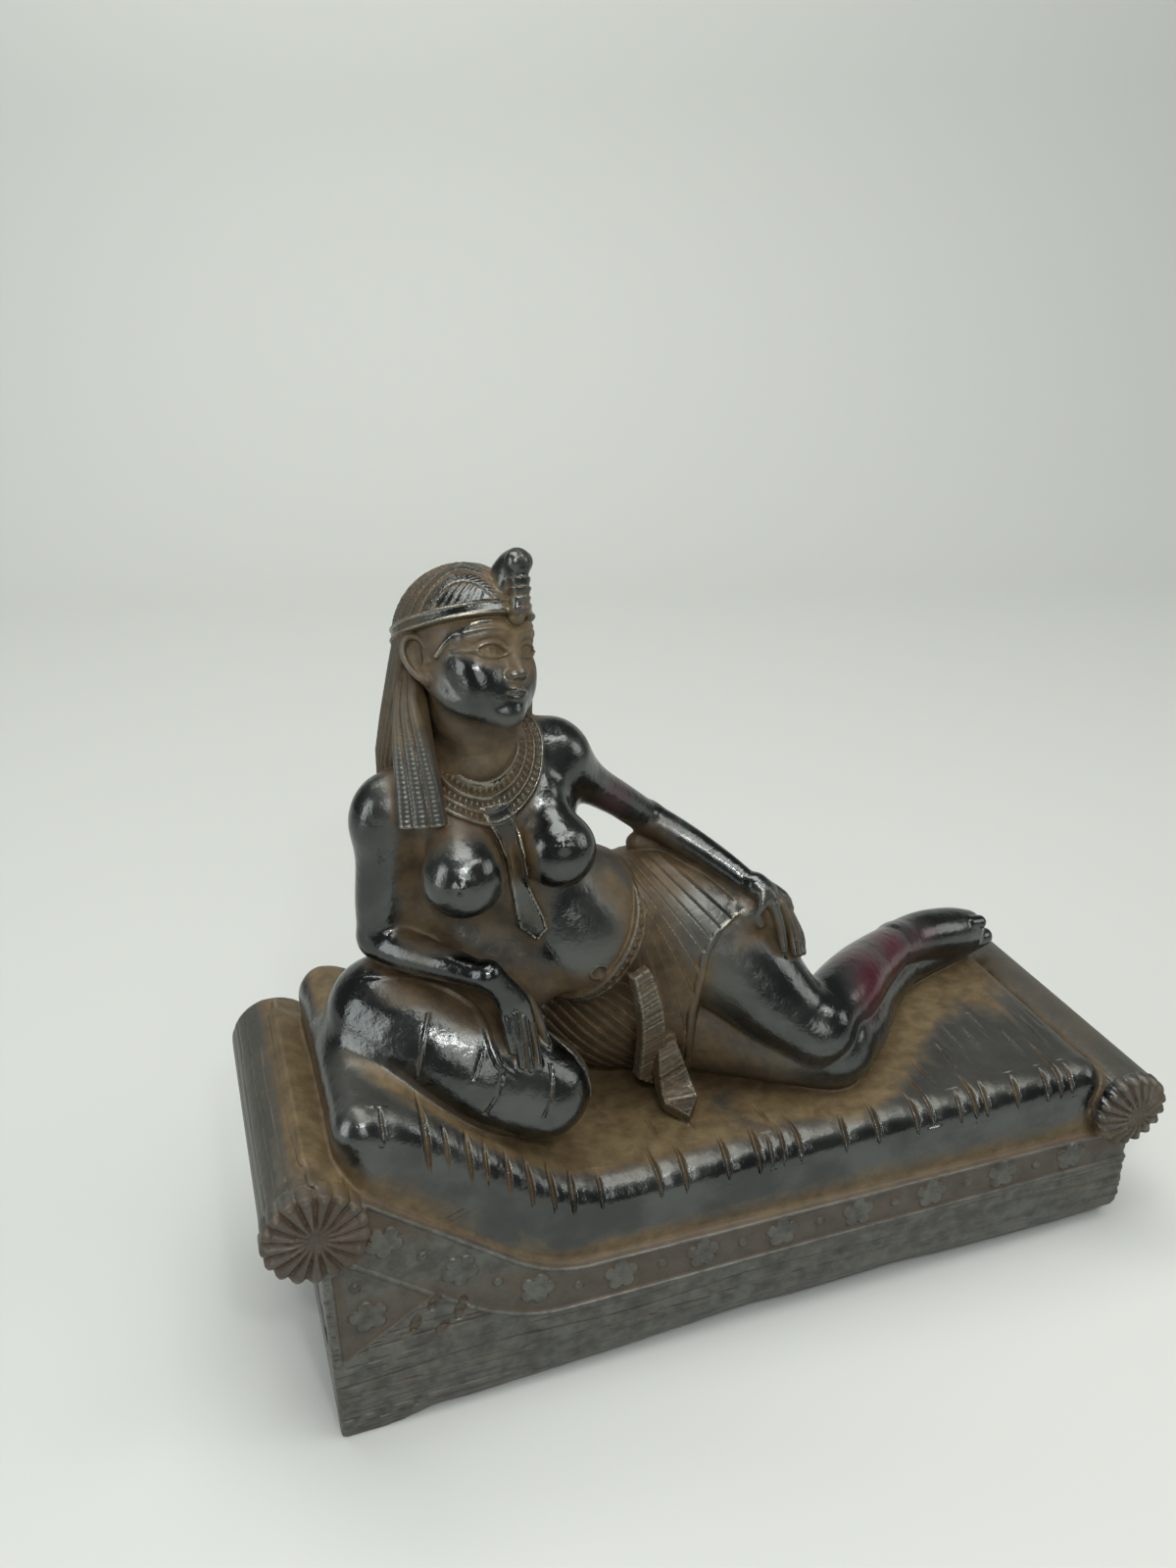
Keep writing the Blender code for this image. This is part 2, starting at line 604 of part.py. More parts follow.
def scroll(P, at, side, fine):
    cx, cz, r = at
    dx, dz = P[:, 0] - F(cx), P[:, 2] - F(cz)
    rho = np.sqrt(dx * dx + dz * dz)
    th = np.arctan2(dz, dx)
    grain = 0
    if fine:
        k = th * r
        grain = 0.12 * step(0.35, 0.0, np.abs(wave(k + 0.5 * wave(P[:, 1], 31, 19), 33, 1.5))) + 0.12 * wave(k, 35, 3.1)
    y0, y1 = -SCROLL_OVERHANG, COUCH_DEPTH + SCROLL_OVERHANG
    body = np.maximum(rho - (r - 0.5) + grain, y0 + 3.4 - P[:, 1])
    body = smax(body, P[:, 1] - y1 - 0.3, 3.0)
    # the fluted rosette on each end
    ph = th * (PETALS / 2.0)
    petal = np.sqrt(np.sin(ph) ** 2 + 0.02)
    edge = r * (0.91 + 0.09 * np.sqrt(petal))
    lift = 1.5 * (petal ** 0.7 - 0.6) * step(0.8, 5.0, rho) - 0.7 * (rho / r) ** 3 + 0.35 * bump(rho - r * 0.88, 0.9) * petal
    lift = lift - 0.5 * step(2.6, 0.6, rho) - (1.5 * step(0.3 * r, r, rho) if side > 0 else 0)
    slab = smax(rho - edge, (y0 - lift - P[:, 1]) * 0.8, 1.2 if side > 0 else 0.4)
    slab = np.maximum(slab, P[:, 1] - y0 - 4.6)
    return np.minimum(body, slab)


def frame(P, fine):
    x, y, z = P[:, 0], P[:, 1], P[:, 2]
    top = (z - crest(x)) * lean(crest, x)
    n = len(x)
    fr = np.zeros(n, F)
    m = (y < 4) & (z < 72)
    if m.any():
        fr[m] = front_relief(x[m], z[m], fine)
    bk = np.zeros(n, F)
    m = (y > COUCH_DEPTH - 4) & (z < 72)
    if m.any() and fine:
        g = np.abs(wave(z[m] + 0.9 * wave(x[m], 41, 33), 43, 1.3))
        bk[m] = -0.28 * step(0.3, 0.0, g)
    m = x < 3
    e = np.zeros(n, F)
    if m.any():
        e[m] = end_relief(y[m], z[m], fine, 51)
    m = x > COUCH_LENGTH - 3
    if m.any():
        e2 = 0 * z[m]
        if fine:
            g = np.abs(wave(z[m] + 0.6 * wave(y[m], 61, 25), 65, 1.3))
            e2 = -0.3 * step(0.3, 0.0, g)
        e[m] = e2
    # sharp upright corners, slightly eased
    dx = np.maximum(-x - e, x - COUCH_LENGTH - e)
    dy = np.maximum(-y - fr, y - COUCH_DEPTH - bk)
    d = smax(dx, dy, 1.2)
    d = smax(d, top, 1.0)
    d = np.maximum(d, -z)
    under = (lower_edge(x) - (z + np.maximum(y, 0))) * 0.7071
    d = smax(d, under, 2.0)
    back = (2.0 - (z + np.maximum(COUCH_DEPTH - y, 0))) * 0.7071
    return smax(d, back, 1.0)


def mattress(P, fine):
    x, y, z = P[:, 0], P[:, 1], P[:, 2]
    f0, f1 = MATTRESS_FACES
    e0, e1 = MATTRESS_ENDS
    r = MATTRESS_ROUND
    up = (z - mattress_top(x)) * lean(mattress_top, x)
    down = (crest(x) - 7.5 - z) * lean(crest, x)
    dz = np.maximum(up, down)
    dy = np.maximum(f0 - y, y - f1)
    dx = np.maximum(e0 - x, x - e1)
    a, b, c = np.maximum(dx + r, 0), np.maximum(dy + r, 0), np.maximum(dz + r, 0)
    d = np.sqrt(a * a + b * b + c * c) + np.minimum(np.maximum(np.maximum(dx, dy), dz) + r, 0) - r
    # gathers, pointed on the top, widest on the shoulder and tapering away down the side
    front = y < 0.5 * (f0 + f1)
    inward = np.where(front, y - f0, f1 - y)
    place = np.where(front, x, 190 - x) + 0.5 * wave(y + x, 75, 9) - 0.04 * inward
    along = inward + np.minimum(up, 0)
    near = (inward < 21) & (up > -14) & (d > -3)
    if near.any():
        px, pa = place[near], along[near]
        pull = np.zeros_like(px)
        gap = np.full_like(px, 9.0)
        for at, reach, drop, wide, deep in GATHERS:
            u = px - at
            t = step(reach, reach * 0.1, pa) * step(-drop - 2.0, -drop * 0.35, pa)
            m = (np.abs(u) < 3.2 * wide) & (t > 0.01)
            pull[m] = np.maximum(pull[m], deep * t[m] * bump(u[m], wide * (0.45 + 0.55 * t[m])))
            gap = np.minimum(gap, np.where(t > 0.01, np.abs(u), 9.0))
        puff = 0.22 * step(0.5, 3.0, gap) * step(9, 3, pa) * step(-9, -3, pa)
        d[near] += pull - puff
    near = (up > -3) & (up < 3) & (y < 60) & (x > 66)
    if near.any():
        px, py = place[near], y[near]
        pull = np.zeros_like(px)
        for at, y0, y1, wide, deep in STROKES:
            k = (py - 0.5 * (y0 + y1)) / (0.5 * (y1 - y0))
            pull += deep * bump(px - at, wide) * np.clip(1 - k * k, 0, 1)
        d[near] += pull
    # a shallow hollow where the figure lies
    hollow = ((x - 92) / 62) ** 2 + ((y - 36) / 25) ** 2
    d = d + 1.2 * step(1.0, 0.2, hollow) * step(-6, 0, up)
    return d.astype(F)


def bolster(P, fine):
    d = limb(P, BOLSTER, 3)
    A, B = np.array(BOLSTER[0][:3]), np.array(BOLSTER[-1][:3])
    ax = unit(B - A)
    q = P - np.asarray(A, F)
    t = q @ np.asarray(ax, F)
    side = unit(np.cross(ax, (0, 0, 1)))
    upv = np.cross(side, ax)
    th = np.arctan2(q @ np.asarray(upv, F), q @ np.asarray(side, F))
    fold = limb(P, FOLD, 2)
    d = d - 0.8 * bump(fold, 1.1) * step(13, 25, P[:, 0]) * step(73, 80, P[:, 2])
    d = d - 0.45 * bump((th - 1.9) * 11 + 0.22 * (t - 30), 0.8) * step(24, 28, t)
    for row in CREASES:
        d = d + 0.55 * bump(limb(P, row, 2), 0.65)
    return d.astype(F)


# ---------------------------------------------------------------- figure
CHEST = basis(CHEST_LEFT, CHEST_UP)
PELVIS = basis(PELVIS_LEFT, PELVIS_UP)
WAIST = basis((0.86, 0.08, 0.5), (-0.5, 0.02, 0.86))
HEAD = turn((0, 0, 1), HEAD_TURN) @ turn((0, 1, 0), HEAD_LEAN) @ turn((1, 0, 0), -HEAD_BACK)
HEAD = np.stack([HEAD @ (1, 0, 0), HEAD @ (0, -1, 0), HEAD @ (0, 0, 1)], 1)
NECK_FOOT = np.array([44.5, 33.5, 133.0])
COLLAR_AXIS = basis((1, 0.1, 0.1), (0.12, -0.60, 0.79))
COLLAR_AT = np.array([43.2, 31.0, 136.2])
COLLAR_WIDE = 0.86  # its breadth against its depth
CORDS = (8.4, 10.5, 12.6, 14.6)  # radii of the raised cords


def chest_pt(l, f, u):
    return CHEST_AT + CHEST @ np.array([l, f, u], float)


def head_pt(l, f, u):
    return HEAD_AT + HEAD @ (np.array([l, f, u], float) * HEAD_SIZE)


def pelvis_pt(l, f, u):
    return PELVIS_AT + PELVIS @ np.array([l, f, u], float)


def torso(L):
    L.ell(chest_pt(0, 0, 0), (16.6, 11.8, 20.0), CHEST, 0)
    L.ell(chest_pt(0, -1, 6), (18.0, 10.4, 11.0), CHEST, 6)
    L.limb([(*chest_pt(-20.0, 0, 12.0), 5.2), (*chest_pt(-10, 0, 13.8), 5.4), (*chest_pt(0, 0, 15), 5.6), (*chest_pt(9, 0, 13.6), 5.2), (*chest_pt(17.0, 0, 10.0), 5.0)], 7)
    L.ell(WAIST_AT, (13.4, 10.6, 14.0), WAIST, 8)
    L.ell(WAIST_AT + np.array([6.5, -4.5, -8.0]), (13.0, 10.6, 13.0), WAIST, 6)
    L.ell((69.0, 38.5, 97.0), (8.5, 9.0, 8.5), None, 6)
    L.ell(PELVIS_AT, (22.5, 15.0, 15.6), PELVIS, 8)
    L.ell(pelvis_pt(9, -7, -4), (13.5, 13, 14.5), PELVIS, 7)
    L.ell(pelvis_pt(-9, -7, -4), (13.5, 12, 14.5), PELVIS, 7)
    # the casting's web between the right arm and the side
    L.limb([(27.0, 37.5, 117.0, 5.0), (30.0, 37.0, 106.0, 6.0), (38.0, 34.0, 95.0, 8.0), (50.0, 32.0, 84.0, 9.0)], 4.0)


def breasts(L):
    for c, r, top, tip in (((37.0, 20.2, 114.2), 7.1, (37.0, 25.6, 123.6), (-0.25, -0.93, 0.28)), ((56.4, 21.4, 115.9), 6.6, (55.0, 27.0, 125.0), (-0.1, -0.80, 0.58))):
        c = np.array(c)
        L.ell(c, (r, r * 0.95, r), CHEST, 2.6)
        L.limb([(*(c + (0, 0.5, 1.0)), r * 0.88), (*((c * 0.6 + np.array(top) * 0.4)), r * 0.74), (*top, r * 0.5)], 5.0)
        n = unit(tip)
        L.ell(c + n * (r * 0.97), (1.5, 1.5, 1.5), None, 0.8)
        L.ell(c + n * (r + 0.75), (0.75, 0.75, 0.75), None, 0.4)


# rows of x, y, z, radius: wrist, palm, thumb, then index to little finger
RIGHT_HAND = (
    [(39.4, 14.9, 95.6, 2.6), (41.9, 14.4, 90.6, 2.2), (42.4, 13.4, 87.4, 1.5)],
    [(39.4, 14.9, 95.6, 2.6), (45.0, 14.4, 88.6, 2.1), (46.8, 13.8, 84.2, 1.3)],
    [(43.0, 16.0, 91.0, 1.8), (47.6, 16.5, 86.4, 1.3), (49.8, 16.4, 80.6, 1.05), (51.2, 14.8, 76.6, 0.75)],
    [(42.1, 13.3, 87.8, 1.15), (42.1, 11.6, 83.9, 1.0), (42.5, 10.8, 79.7, 0.9)],
    [(43.8, 12.8, 86.9, 1.15), (43.9, 10.9, 82.0, 1.0), (44.1, 9.5, 76.7, 0.85)],
    [(45.5, 13.0, 85.4, 1.1), (45.8, 11.2, 80.5, 0.95), (45.8, 9.0, 75.8, 0.8)],
    [(47.2, 13.8, 83.3, 1.05), (47.8, 12.2, 78.9, 0.85), (47.7, 10.4, 75.5, 0.7)],
)
LEFT_HAND = (
    [(103.1, 29.6, 95.4, 2.4), (105.0, 27.2, 93.6, 2.0), (105.8, 26.0, 91.6, 1.4)],
    [(103.1, 29.6, 95.4, 2.4), (108.8, 29.0, 91.4, 1.9), (111.4, 29.6, 87.8, 1.2)],
    [(103.8, 27.6, 94.6, 1.6), (102.9, 25.8, 92.6, 1.2), (102.0, 26.2, 90.0, 1.05), (102.6, 25.7, 87.6, 0.8)],
    [(105.6, 25.6, 92.2, 1.15), (107.0, 24.6, 86.6, 1.0), (107.1, 22.7, 82.2, 0.85)],
    [(108.0, 27.0, 91.2, 1.1), (109.9, 25.7, 85.5, 0.95), (110.0, 23.0, 80.4, 0.8)],
    [(110.2, 28.6, 88.8, 1.05), (112.0, 27.0, 83.6, 0.9), (111.8, 24.1, 79.2, 0.75)],
    [(112.0, 30.2, 86.0, 1.0), (113.9, 28.6, 81.3, 0.85), (113.7, 26.0, 78.0, 0.7)],
)


def hand(L, rows):
    for k, row in enumerate(rows):
        L.limb(row, 1.2 if k < 2 else 0.8 if k == 2 else 0.22, 3)


def arms(L):
    L.limb(RIGHT_UPPER_ARM, 5.0)
    L.limb(RIGHT_FOREARM, 2.0)
    L.limb(LEFT_UPPER_ARM, 5.0)
    L.limb(LEFT_FOREARM, 1.2)
    # and between the left forearm and the hip
    L.limb([(82.0, 47.0, 101.0, 2.4), (88.0, 46.0, 99.5, 3.0), (92.5, 42.0, 97.2, 3.4), (98.0, 36.4, 93.4, 3.4), (103.0, 31.6, 89.6, 3.2)], 1.5)
    hand(L, RIGHT_HAND)
    hand(L, LEFT_HAND)
    L.limb([(101.0, 31.0, 88.0, 5.0), (104.8, 29.4, 87.6, 3.6), (108.8, 29.4, 84.6, 3.4), (112.0, 29.6, 79.6, 2.8)], 1.5)


def legs(L):
    L.limb(RIGHT_THIGH, 4.0)
    L.limb(RIGHT_SHIN, 3.0)
    L.limb(RIGHT_FOOT, 2.0)
    L.limb([(153.0, 50.0, 52.0, 5.0), (150.0, 54.5, 51.0, 4.4)], 2.0, 1)


def upper_leg(L):
    L.limb(LEFT_THIGH, 0.0)
    L.limb(LEFT_SHIN, 1.6)
    L.ell((116.2, 19.2, 61.8), (6.4, 6.6, 7.0), None, 3.0)
    L.limb(LEFT_FOOT, 2.0)
    L.limb([(153.0, 50.5, 57.5, 4.2), (151.0, 55.0, 54.5, 3.6)], 2.0, 1)
    L.ell((150.8, 48.6, 63.0), (1.6, 1.6, 1.6), None, 1.5)
    # toes
    side = unit((0.15, 0.62, -0.77))
    fwd = unit((0.95, 0.10, -0.16))
    base = np.array([179.0, 53.6, 57.0])
    for i, r in enumerate((1.9, 1.5, 1.4, 1.35, 1.2)):
        a = base + side * (i * 2.0 + (0.4 if i else 0)) - fwd * (0.25 * i * i)
        L.limb([(*(a - fwd * 2.4), r * 1.05), (*(a + fwd * 0.9), r)], 0.4, 1)


def neck(L):
    L.limb([(*NECK_FOOT, 8.2), (*(NECK_FOOT + (0, -0.4, 3.5)), 7.0), (*head_pt(0, -2.0, -9), 6.4), (*head_pt(0, -1.5, -3), 6.6)], 4.0)


FIGURE_LOW, FIGURE_HIGH = (12, 4, 44), (192, 68, 180)


def body(pts):
    L = Layer(pts)
    torso(L)
    breasts(L)
    neck(L)
    legs(L)
    U = Layer(pts)
    upper_leg(U)
    L.d = smin(L.d, U.d, 0.9)
    arms(L)
    return L


def head_local(pts):
    return Points(local(pts.P, HEAD_AT, HEAD) / F(HEAD_SIZE))


def head(pts):
    """Skull, face and ears, in the head's own frame: left, front, up from the middle of the skull."""
    L = Layer(pts, 4)
    L.ell((0, -1.4, 2.4), (9.5, 11.7, 10.4))
    L.ell((0, 2.4, -2.9), (7.8, 8.3, 8.4), None, 3.0)
    # jaw, cheekbones, cheeks and chin
    L.ell((0, 4.6, -7.9), (5.0, 5.2, 3.7), None, 4.0)
    for s in (-1, 1):
        L.limb([(s * 7.1, -0.6, -4.8, 1.5), (s * 6.2, 2.2, -7.8, 1.6), (s * 3.5, 6.4, -10.0, 1.6), (0, 8.5, -10.8, 1.6)], 3.0, 3)
        L.ell((s * 5.3, 6.2, -3.4), (2.4, 2.6, 2.0), None, 3.0)
        L.ell((s * 4.1, 7.1, -6.4), (2.5, 2.5, 2.6), None, 3.0)
    L.ell((0, 8.9, -10.8), (2.0, 1.8, 1.45), None, 2.0)
    # brow, sockets and eyeballs
    L.limb([(-6.6, 6.6, 1.7, 1.3), (-3.4, 9.2, 2.1, 1.4), (0, 9.9, 1.5, 1.4), (3.4, 9.2, 2.1, 1.4), (6.6, 6.6, 1.7, 1.3)], 2.4, 3)
    for s in (-1, 1):
        L.ell((s * 3.7, 12.0, -0.8), (2.7, 2.0, 1.5), None, 2.2, "cut")
        L.ell((s * 3.75, 7.65, -0.8), (2.5, 2.2, 1.75), None, 0.8)
    # nose
    L.limb([(0, 9.9, 1.0, 0.95), (0, 10.9, -1.8, 0.85), (0, 12.1, -4.3, 0.95)], 1.6, 3)
    L.ell((0, 12.2, -4.5), (1.05, 1.15, 0.85), None, 0.8)
    for s in (-1, 1):
        L.ell((s * 1.3, 11.1, -4.75), (0.8, 1.1, 0.72), None, 0.7)
    for s in (-1, 1):
        L.ell((s * 0.6, 11.8, -5.4), (0.36, 0.55, 0.3), None, 0.3, "cut")
    # mouth
    L.ell((0, 9.5, -7.4), (3.1, 1.6, 1.9), None, 1.8)
    L.limb([(-2.4, 9.9, -7.62, 0.3), (-1.3, 10.8, -7.25, 0.45), (-0.5, 11.25, -7.05, 0.5), (0, 11.2, -7.18, 0.5), (0.5, 11.25, -7.05, 0.5), (1.3, 10.8, -7.25, 0.45), (2.4, 9.9, -7.62, 0.3)], 0.5, 2)
    L.limb([(-2.1, 10.0, -7.85, 0.32), (-0.9, 10.8, -8.25, 0.55), (0.9, 10.8, -8.25, 0.55), (2.1, 10.0, -7.85, 0.32)], 0.5, 3)
    L.limb([(-2.2, 10.6, -7.66, 0.12), (-1.0, 11.45, -7.64, 0.18), (0, 11.7, -7.74, 0.18), (1.0, 11.45, -7.64, 0.18), (2.2, 10.6, -7.66, 0.12)], 0.35, 2, "cut")
    for s in (-1, 1):
        ear(L, s)
    q = L.pts.P
    l, u = np.abs(q[:, 0]), q[:, 2]
    front = step(3.0, 6.0, q[:, 1]) * step(9.5, 8.5, l) * step(6, 5, np.abs(u + 1))
    m = front > 0
    if m.any():
        lm, um = l[m], u[m]
        h = np.zeros(len(lm), F)
        s = (lm - 3.9) / 2.5
        e = np.clip(1 - s * s, 0, 1) ** 0.7
        mid = -0.85 + 0.12 * s
        up, lo = mid + 1.1 * e, mid - 0.75 * e
        near = step(1.3, 0.85, np.abs(s))
        inside = step(-0.1, 0.35, up - um) * step(-0.1, 0.35, um - lo)
        # rims of the lids, the sunk eye between them, and the painted line running back
        h += near * 0.34 * (bump(um - up - 0.2, 0.5) + bump(um - lo + 0.2, 0.45)) - near * 0.16 * inside
        iris = np.sqrt((lm - 3.75) ** 2 + (um - mid - 0.1) ** 2)
        h += 0.14 * bump(iris - 0.7, 0.4) * inside
        tail = -0.8 + 0.06 * (lm - 6.2)
        h += 0.26 * bump(um - tail, 0.5) * step(5.9, 6.5, lm) * step(8.9, 8.2, lm)
        h -= 0.14 * bump(um - up - 0.95, 0.4) * near
        brow = 2.0 + 0.8 * np.clip(1 - ((lm - 4.3) / 3.9) ** 2, -1, 1)
        h += 0.32 * bump(um - brow, 0.55) * step(1.0, 1.9, lm) * step(8.7, 7.9, lm)
        L.d[m] -= h * front[m]
    return L


def ear(L, s):
    """A shell of one rim, its hollow and the lobe, standing out from the hair."""
    n = unit((s * 0.80, 0.58, 0.08))
    t = np.array([0.0, -0.28, 1.0])
    t = unit(t - n * (t @ n))
    b = np.cross(n, t) * -s
    b = b if b[1] < 0 else -b
    c = np.array([s * 9.7, -1.2, -1.4])
    B = np.stack([b, n, t], 1)

    def at(x, z, o):
        return c + b * x + t * z + n * o

    L.ell(at(0.4, 0.3, -0.9), (2.0, 1.2, 3.5), B, 0.5)
    L.limb([(*at(-0.6, 0.2, -1.2), 1.6), (*at(-0.2, -3.0, -0.9), 1.1)], 0.8, 1)
    rim = [(-1.5, 1.4), (-1.0, 3.0), (0.3, 3.9), (1.7, 3.4), (2.35, 1.8), (2.15, 0.0), (1.5, -1.7), (0.6, -3.1), (-0.4, -3.8)]
    L.limb([(*at(x, z, 0.1), 0.58) for x, z in rim], 0.25, 3)
    L.ell(at(-0.45, -3.7, -0.1), (0.95, 0.75, 1.05), B, 0.5)
    L.ell(at(0.45, 0.7, 0.35), (1.15, 0.75, 2.1), B, 0.35, "cut")
    L.limb([(*at(-1.2, 0.5, 0.0), 0.5), (*at(-1.3, -0.9, 0.1), 0.5)], 0.4, 1)


BAND_RISE = 0.15


def over_band(q):
    """Height above the headband's middle, in the head's own frame."""
    return q[:, 2] - 4.5 - BAND_RISE * (q[:, 1] + 1.0)


def feathers(q, fine):
    """Low relief on the cap: a wing on each side, its rows of barbs curving round a plain patch over the brow."""
    if not fine:
        return 0
    v = over_band(q)
    wing = np.abs(np.arctan2(q[:, 0], q[:, 1] + 1.0)) * 11.0
    a, b = wing - 8.4, v * 1.05
    r = np.sqrt(a * a + b * b)
    th = np.arctan2(b, -a)
    rows = (r - 5.0) / 2.6
    k = np.floor(rows)
    t = rows - k
    quill = np.abs((th * r / 0.95 + 0.6 * t + 0.5 * (k % 2)) % 1.0 - 0.5) * 2
    far = step(4.7, 5.4, r)
    lift = 0.42 * np.sqrt(np.clip(1 - t, 0, 1)) * step(0.0, 0.16, t) + 0.16 * (quill - 0.5) * step(0.05, 0.3, t)
    strokes = 0.11 * np.sin((a * 0.75 + b * 0.66) * 5.2 + 1.2 * np.sin(b * 1.3)) * step(0.6, 1.5, v)
    return (far * lift + (1 - far) * strokes) * step(0.5, 1.3, v)


def dress(pts, fine):
    """Cap, headband and cobra, in the head's own frame."""
    L = Layer(pts, 4)
    L.ell((0, -1.0, 2.3), (10.6, 12.9, 12.0))
    L.d = L.d - feathers(pts.P, fine)
    L.put(lambda q: -over_band(q), *around((0, 0, 2), 18), 0.5, "keep")
    B = Layer(pts, 4)
    B.ell((0, -1.0, 2.3), (11.05, 13.2, 12.3))
    v = over_band(pts.P)
    B.d = B.d - 0.42 * bump(v - 0.95, 0.5) - 0.34 * bump(v + 0.95, 0.5)
    B.put(lambda q: np.abs(over_band(q)) - 1.25, *around((0, 0, 2), 18), 0.5, "keep")
    L.d = smin(L.d, B.d, 0.3)
    # the hair's edge comes down at the temples in front of the ears
    for s in (-1, 1):
        L.limb([(s * 4.0, 10.0, 4.0, 0.3), (s * 6.6, 8.3, 3.4, 0.5), (s * 8.5, 4.8, 1.2, 0.6), (s * 9.1, 2.2, -1.2, 0.4)], 0.6, 3)
    # cobra: ringed body up the brow, turning over into a blunt head
    K = Layer(pts, 4)
    K.limb([(0, 11.6, 4.6, 1.4), (0, 12.6, 7.2, 1.65), (0, 12.8, 9.6, 1.7), (0, 12.6, 12.0, 1.7)], 0.0, 3)
    if fine:
        ring = (pts.P[:, 2] - 4.6) / 1.55
        ring = ring - np.floor(ring)
        K.d = K.d - 0.5 * (ring - 0.5 - step(0.85, 1.0, ring)) * step(3.8, 5.2, pts.P[:, 2]) * step(12.4, 11.6, pts.P[:, 2])
    K.limb([(0, 9.0, 12.0, 1.9), (0, 10.8, 13.0, 2.1), (0, 12.4, 13.2, 2.3)], 0.6, 2)
    # the casting's web between the cobra and the cap
    K.limb([(0, 8.2, 7.4, 2.2), (0, 9.6, 9.8, 2.0), (0, 10.6, 11.6, 1.8)], 0.8, 2)
    for s in (-1, 1):
        K.ell((s * 1.3, 12.9, 13.2), (1.15, 1.4, 1.6), None, 0.35)
        K.ell((s * 1.0, 12.7, 6.2), (0.8, 1.0, 1.6), None, 0.4)
    L.d = smin(L.d, K.d, 0.4)
    return L


def around(c, r):
    c = np.asarray(c, float)
    return c - r, c + r


# hair: rows of z, centre x, centre y, half breadth, half depth
HAIR = np.array([(165.0, 43.6, 36.4, 11.4, 11.8), (158.0, 43.0, 36.8, 12.5, 12.3), (151.0, 42.6, 37.7, 13.7, 12.2), (142.0, 41.8, 39.0, 14.8, 11.4), (134.0, 41.2, 40.6, 15.5, 10.4), (126.0, 41.2, 41.6, 15.6, 9.2), (121.0, 41.6, 41.6, 15.0, 7.6)])
STRANDS = 50
# the fall over the right shoulder: rows of z, centre x, centre y, half breadth, the way it faces x, y
FALL = np.array([(154.0, 32.6, 34.6, 2.0, -0.95, -0.30), (149.0, 31.6, 32.6, 2.7, -0.88, -0.47), (144.0, 31.0, 30.4, 3.3, -0.70, -0.71), (138.0, 30.7, 28.0, 3.8, -0.50, -0.87), (131.0, 30.7, 25.5, 4.3, -0.30, -0.95), (124.0, 30.6, 23.1, 4.7, -0.20, -0.98)])


def hair(pts, fine):
    """A curtain of cords round the back and sides, and the square-ended fall over the right shoulder."""
    L = Layer(pts)

    def curtain(P):
        z = P[:, 2]
        cx, cy, rx, ry = (np.interp(z, HAIR[::-1, 0], HAIR[::-1, i]).astype(F) for i in (1, 2, 3, 4))
        dx, dy = (P[:, 0] - cx) / rx, (P[:, 1] - cy) / ry
        rho = np.sqrt(dx * dx + dy * dy)
        th = np.arctan2(dx, dy)  # 0 at the back
        d = (rho - 1) * np.minimum(rx, ry)
        s = np.abs(np.sin(th * STRANDS / 2 + (0.12 * np.sin(z * 0.35 + th * 3) if fine else 0)))
        d = d - 0.42 * (np.sqrt(s) - 0.6)
        # open at the front, and behind the right ear
        left = step(0.0, 0.3, dx)
        limit = (1.92 + 0.38 * step(149.5, 144.0, z)) * (1 - left) + 2.0 * left
        d = smax(d, (np.abs(th) - limit) * 13.0, 1.0)
        q = local(P, HEAD_AT, HEAD)
        tuck = (q[:, 2] / HEAD_SIZE - 4.4 - BAND_RISE * (q[:, 1] / HEAD_SIZE + 1.0)) * HEAD_SIZE
        d = np.maximum(d, tuck)
        return np.maximum(d, 122.0 - z).astype(F)

    L.put(curtain, (24, 24, 120), (60, 54, 168))
    L.put(lambda P: fall(P, fine), (23, 16, 121), (40, 38, 156), 1.0)
    return L


def fall(P, fine):
    z = P[:, 2]
    cx, cy, half, nx, ny = (np.interp(z, FALL[::-1, 0], FALL[::-1, i]).astype(F) for i in (1, 2, 3, 4, 5))
    n = np.sqrt(nx * nx + ny * ny)
    nx, ny = nx / n, ny / n
    dx, dy = P[:, 0] - cx, P[:, 1] - cy
    x, y = dx * -ny + dy * nx, dx * nx + dy * ny
    s = np.abs(np.cos(x / half * math.pi * 1.5))
    cord = 0.75 * (np.sqrt(s) - 0.65)
    if fine:
        cord = cord + 0.035 * np.sin(z * 7.4) * step(0.4, 0.7, s) * step(144, 138, z)
    thick = 2.1 - 1.1 * step(145.0, 153.0, z)
    d1, d2 = np.abs(x) - half + 0.7, np.abs(y + 0.03 * x * x) - thick - cord + 0.7
    d = np.sqrt(np.maximum(d1, 0) ** 2 + np.maximum(d2, 0) ** 2) + np.minimum(np.maximum(d1, d2), 0) - 0.7
    return smax(d, np.maximum(125.3 - z, z - 153.5), 0.6).astype(F)


def lower(pts):
    """Pelvis and thighs, which the kilt follows."""
    L = Layer(pts)
    L.ell(PELVIS_AT, (22.5, 15.0, 15.6), PELVIS)
    L.ell(pelvis_pt(9, -7, -4), (13.5, 13, 14.5), PELVIS, 7)
    L.ell(pelvis_pt(-9, -7, -4), (13.5, 12, 14.5), PELVIS, 7)
    L.ell(WAIST_AT + np.array([6.5, -4.5, -8.0]), (13.0, 10.6, 13.0), WAIST, 8)
    L.limb(LEFT_THIGH, 6.0)
    L.limb(RIGHT_THIGH, 6.0)
    # cloth hangs between the thighs
    L.limb([(82, 36, 70, 11), (91, 33, 66, 9)], 6.0, 1)
    return L


def below_belt(P):
    return (P - np.asarray(BELT_AT, F)) @ np.asarray(BELT_UP, F)


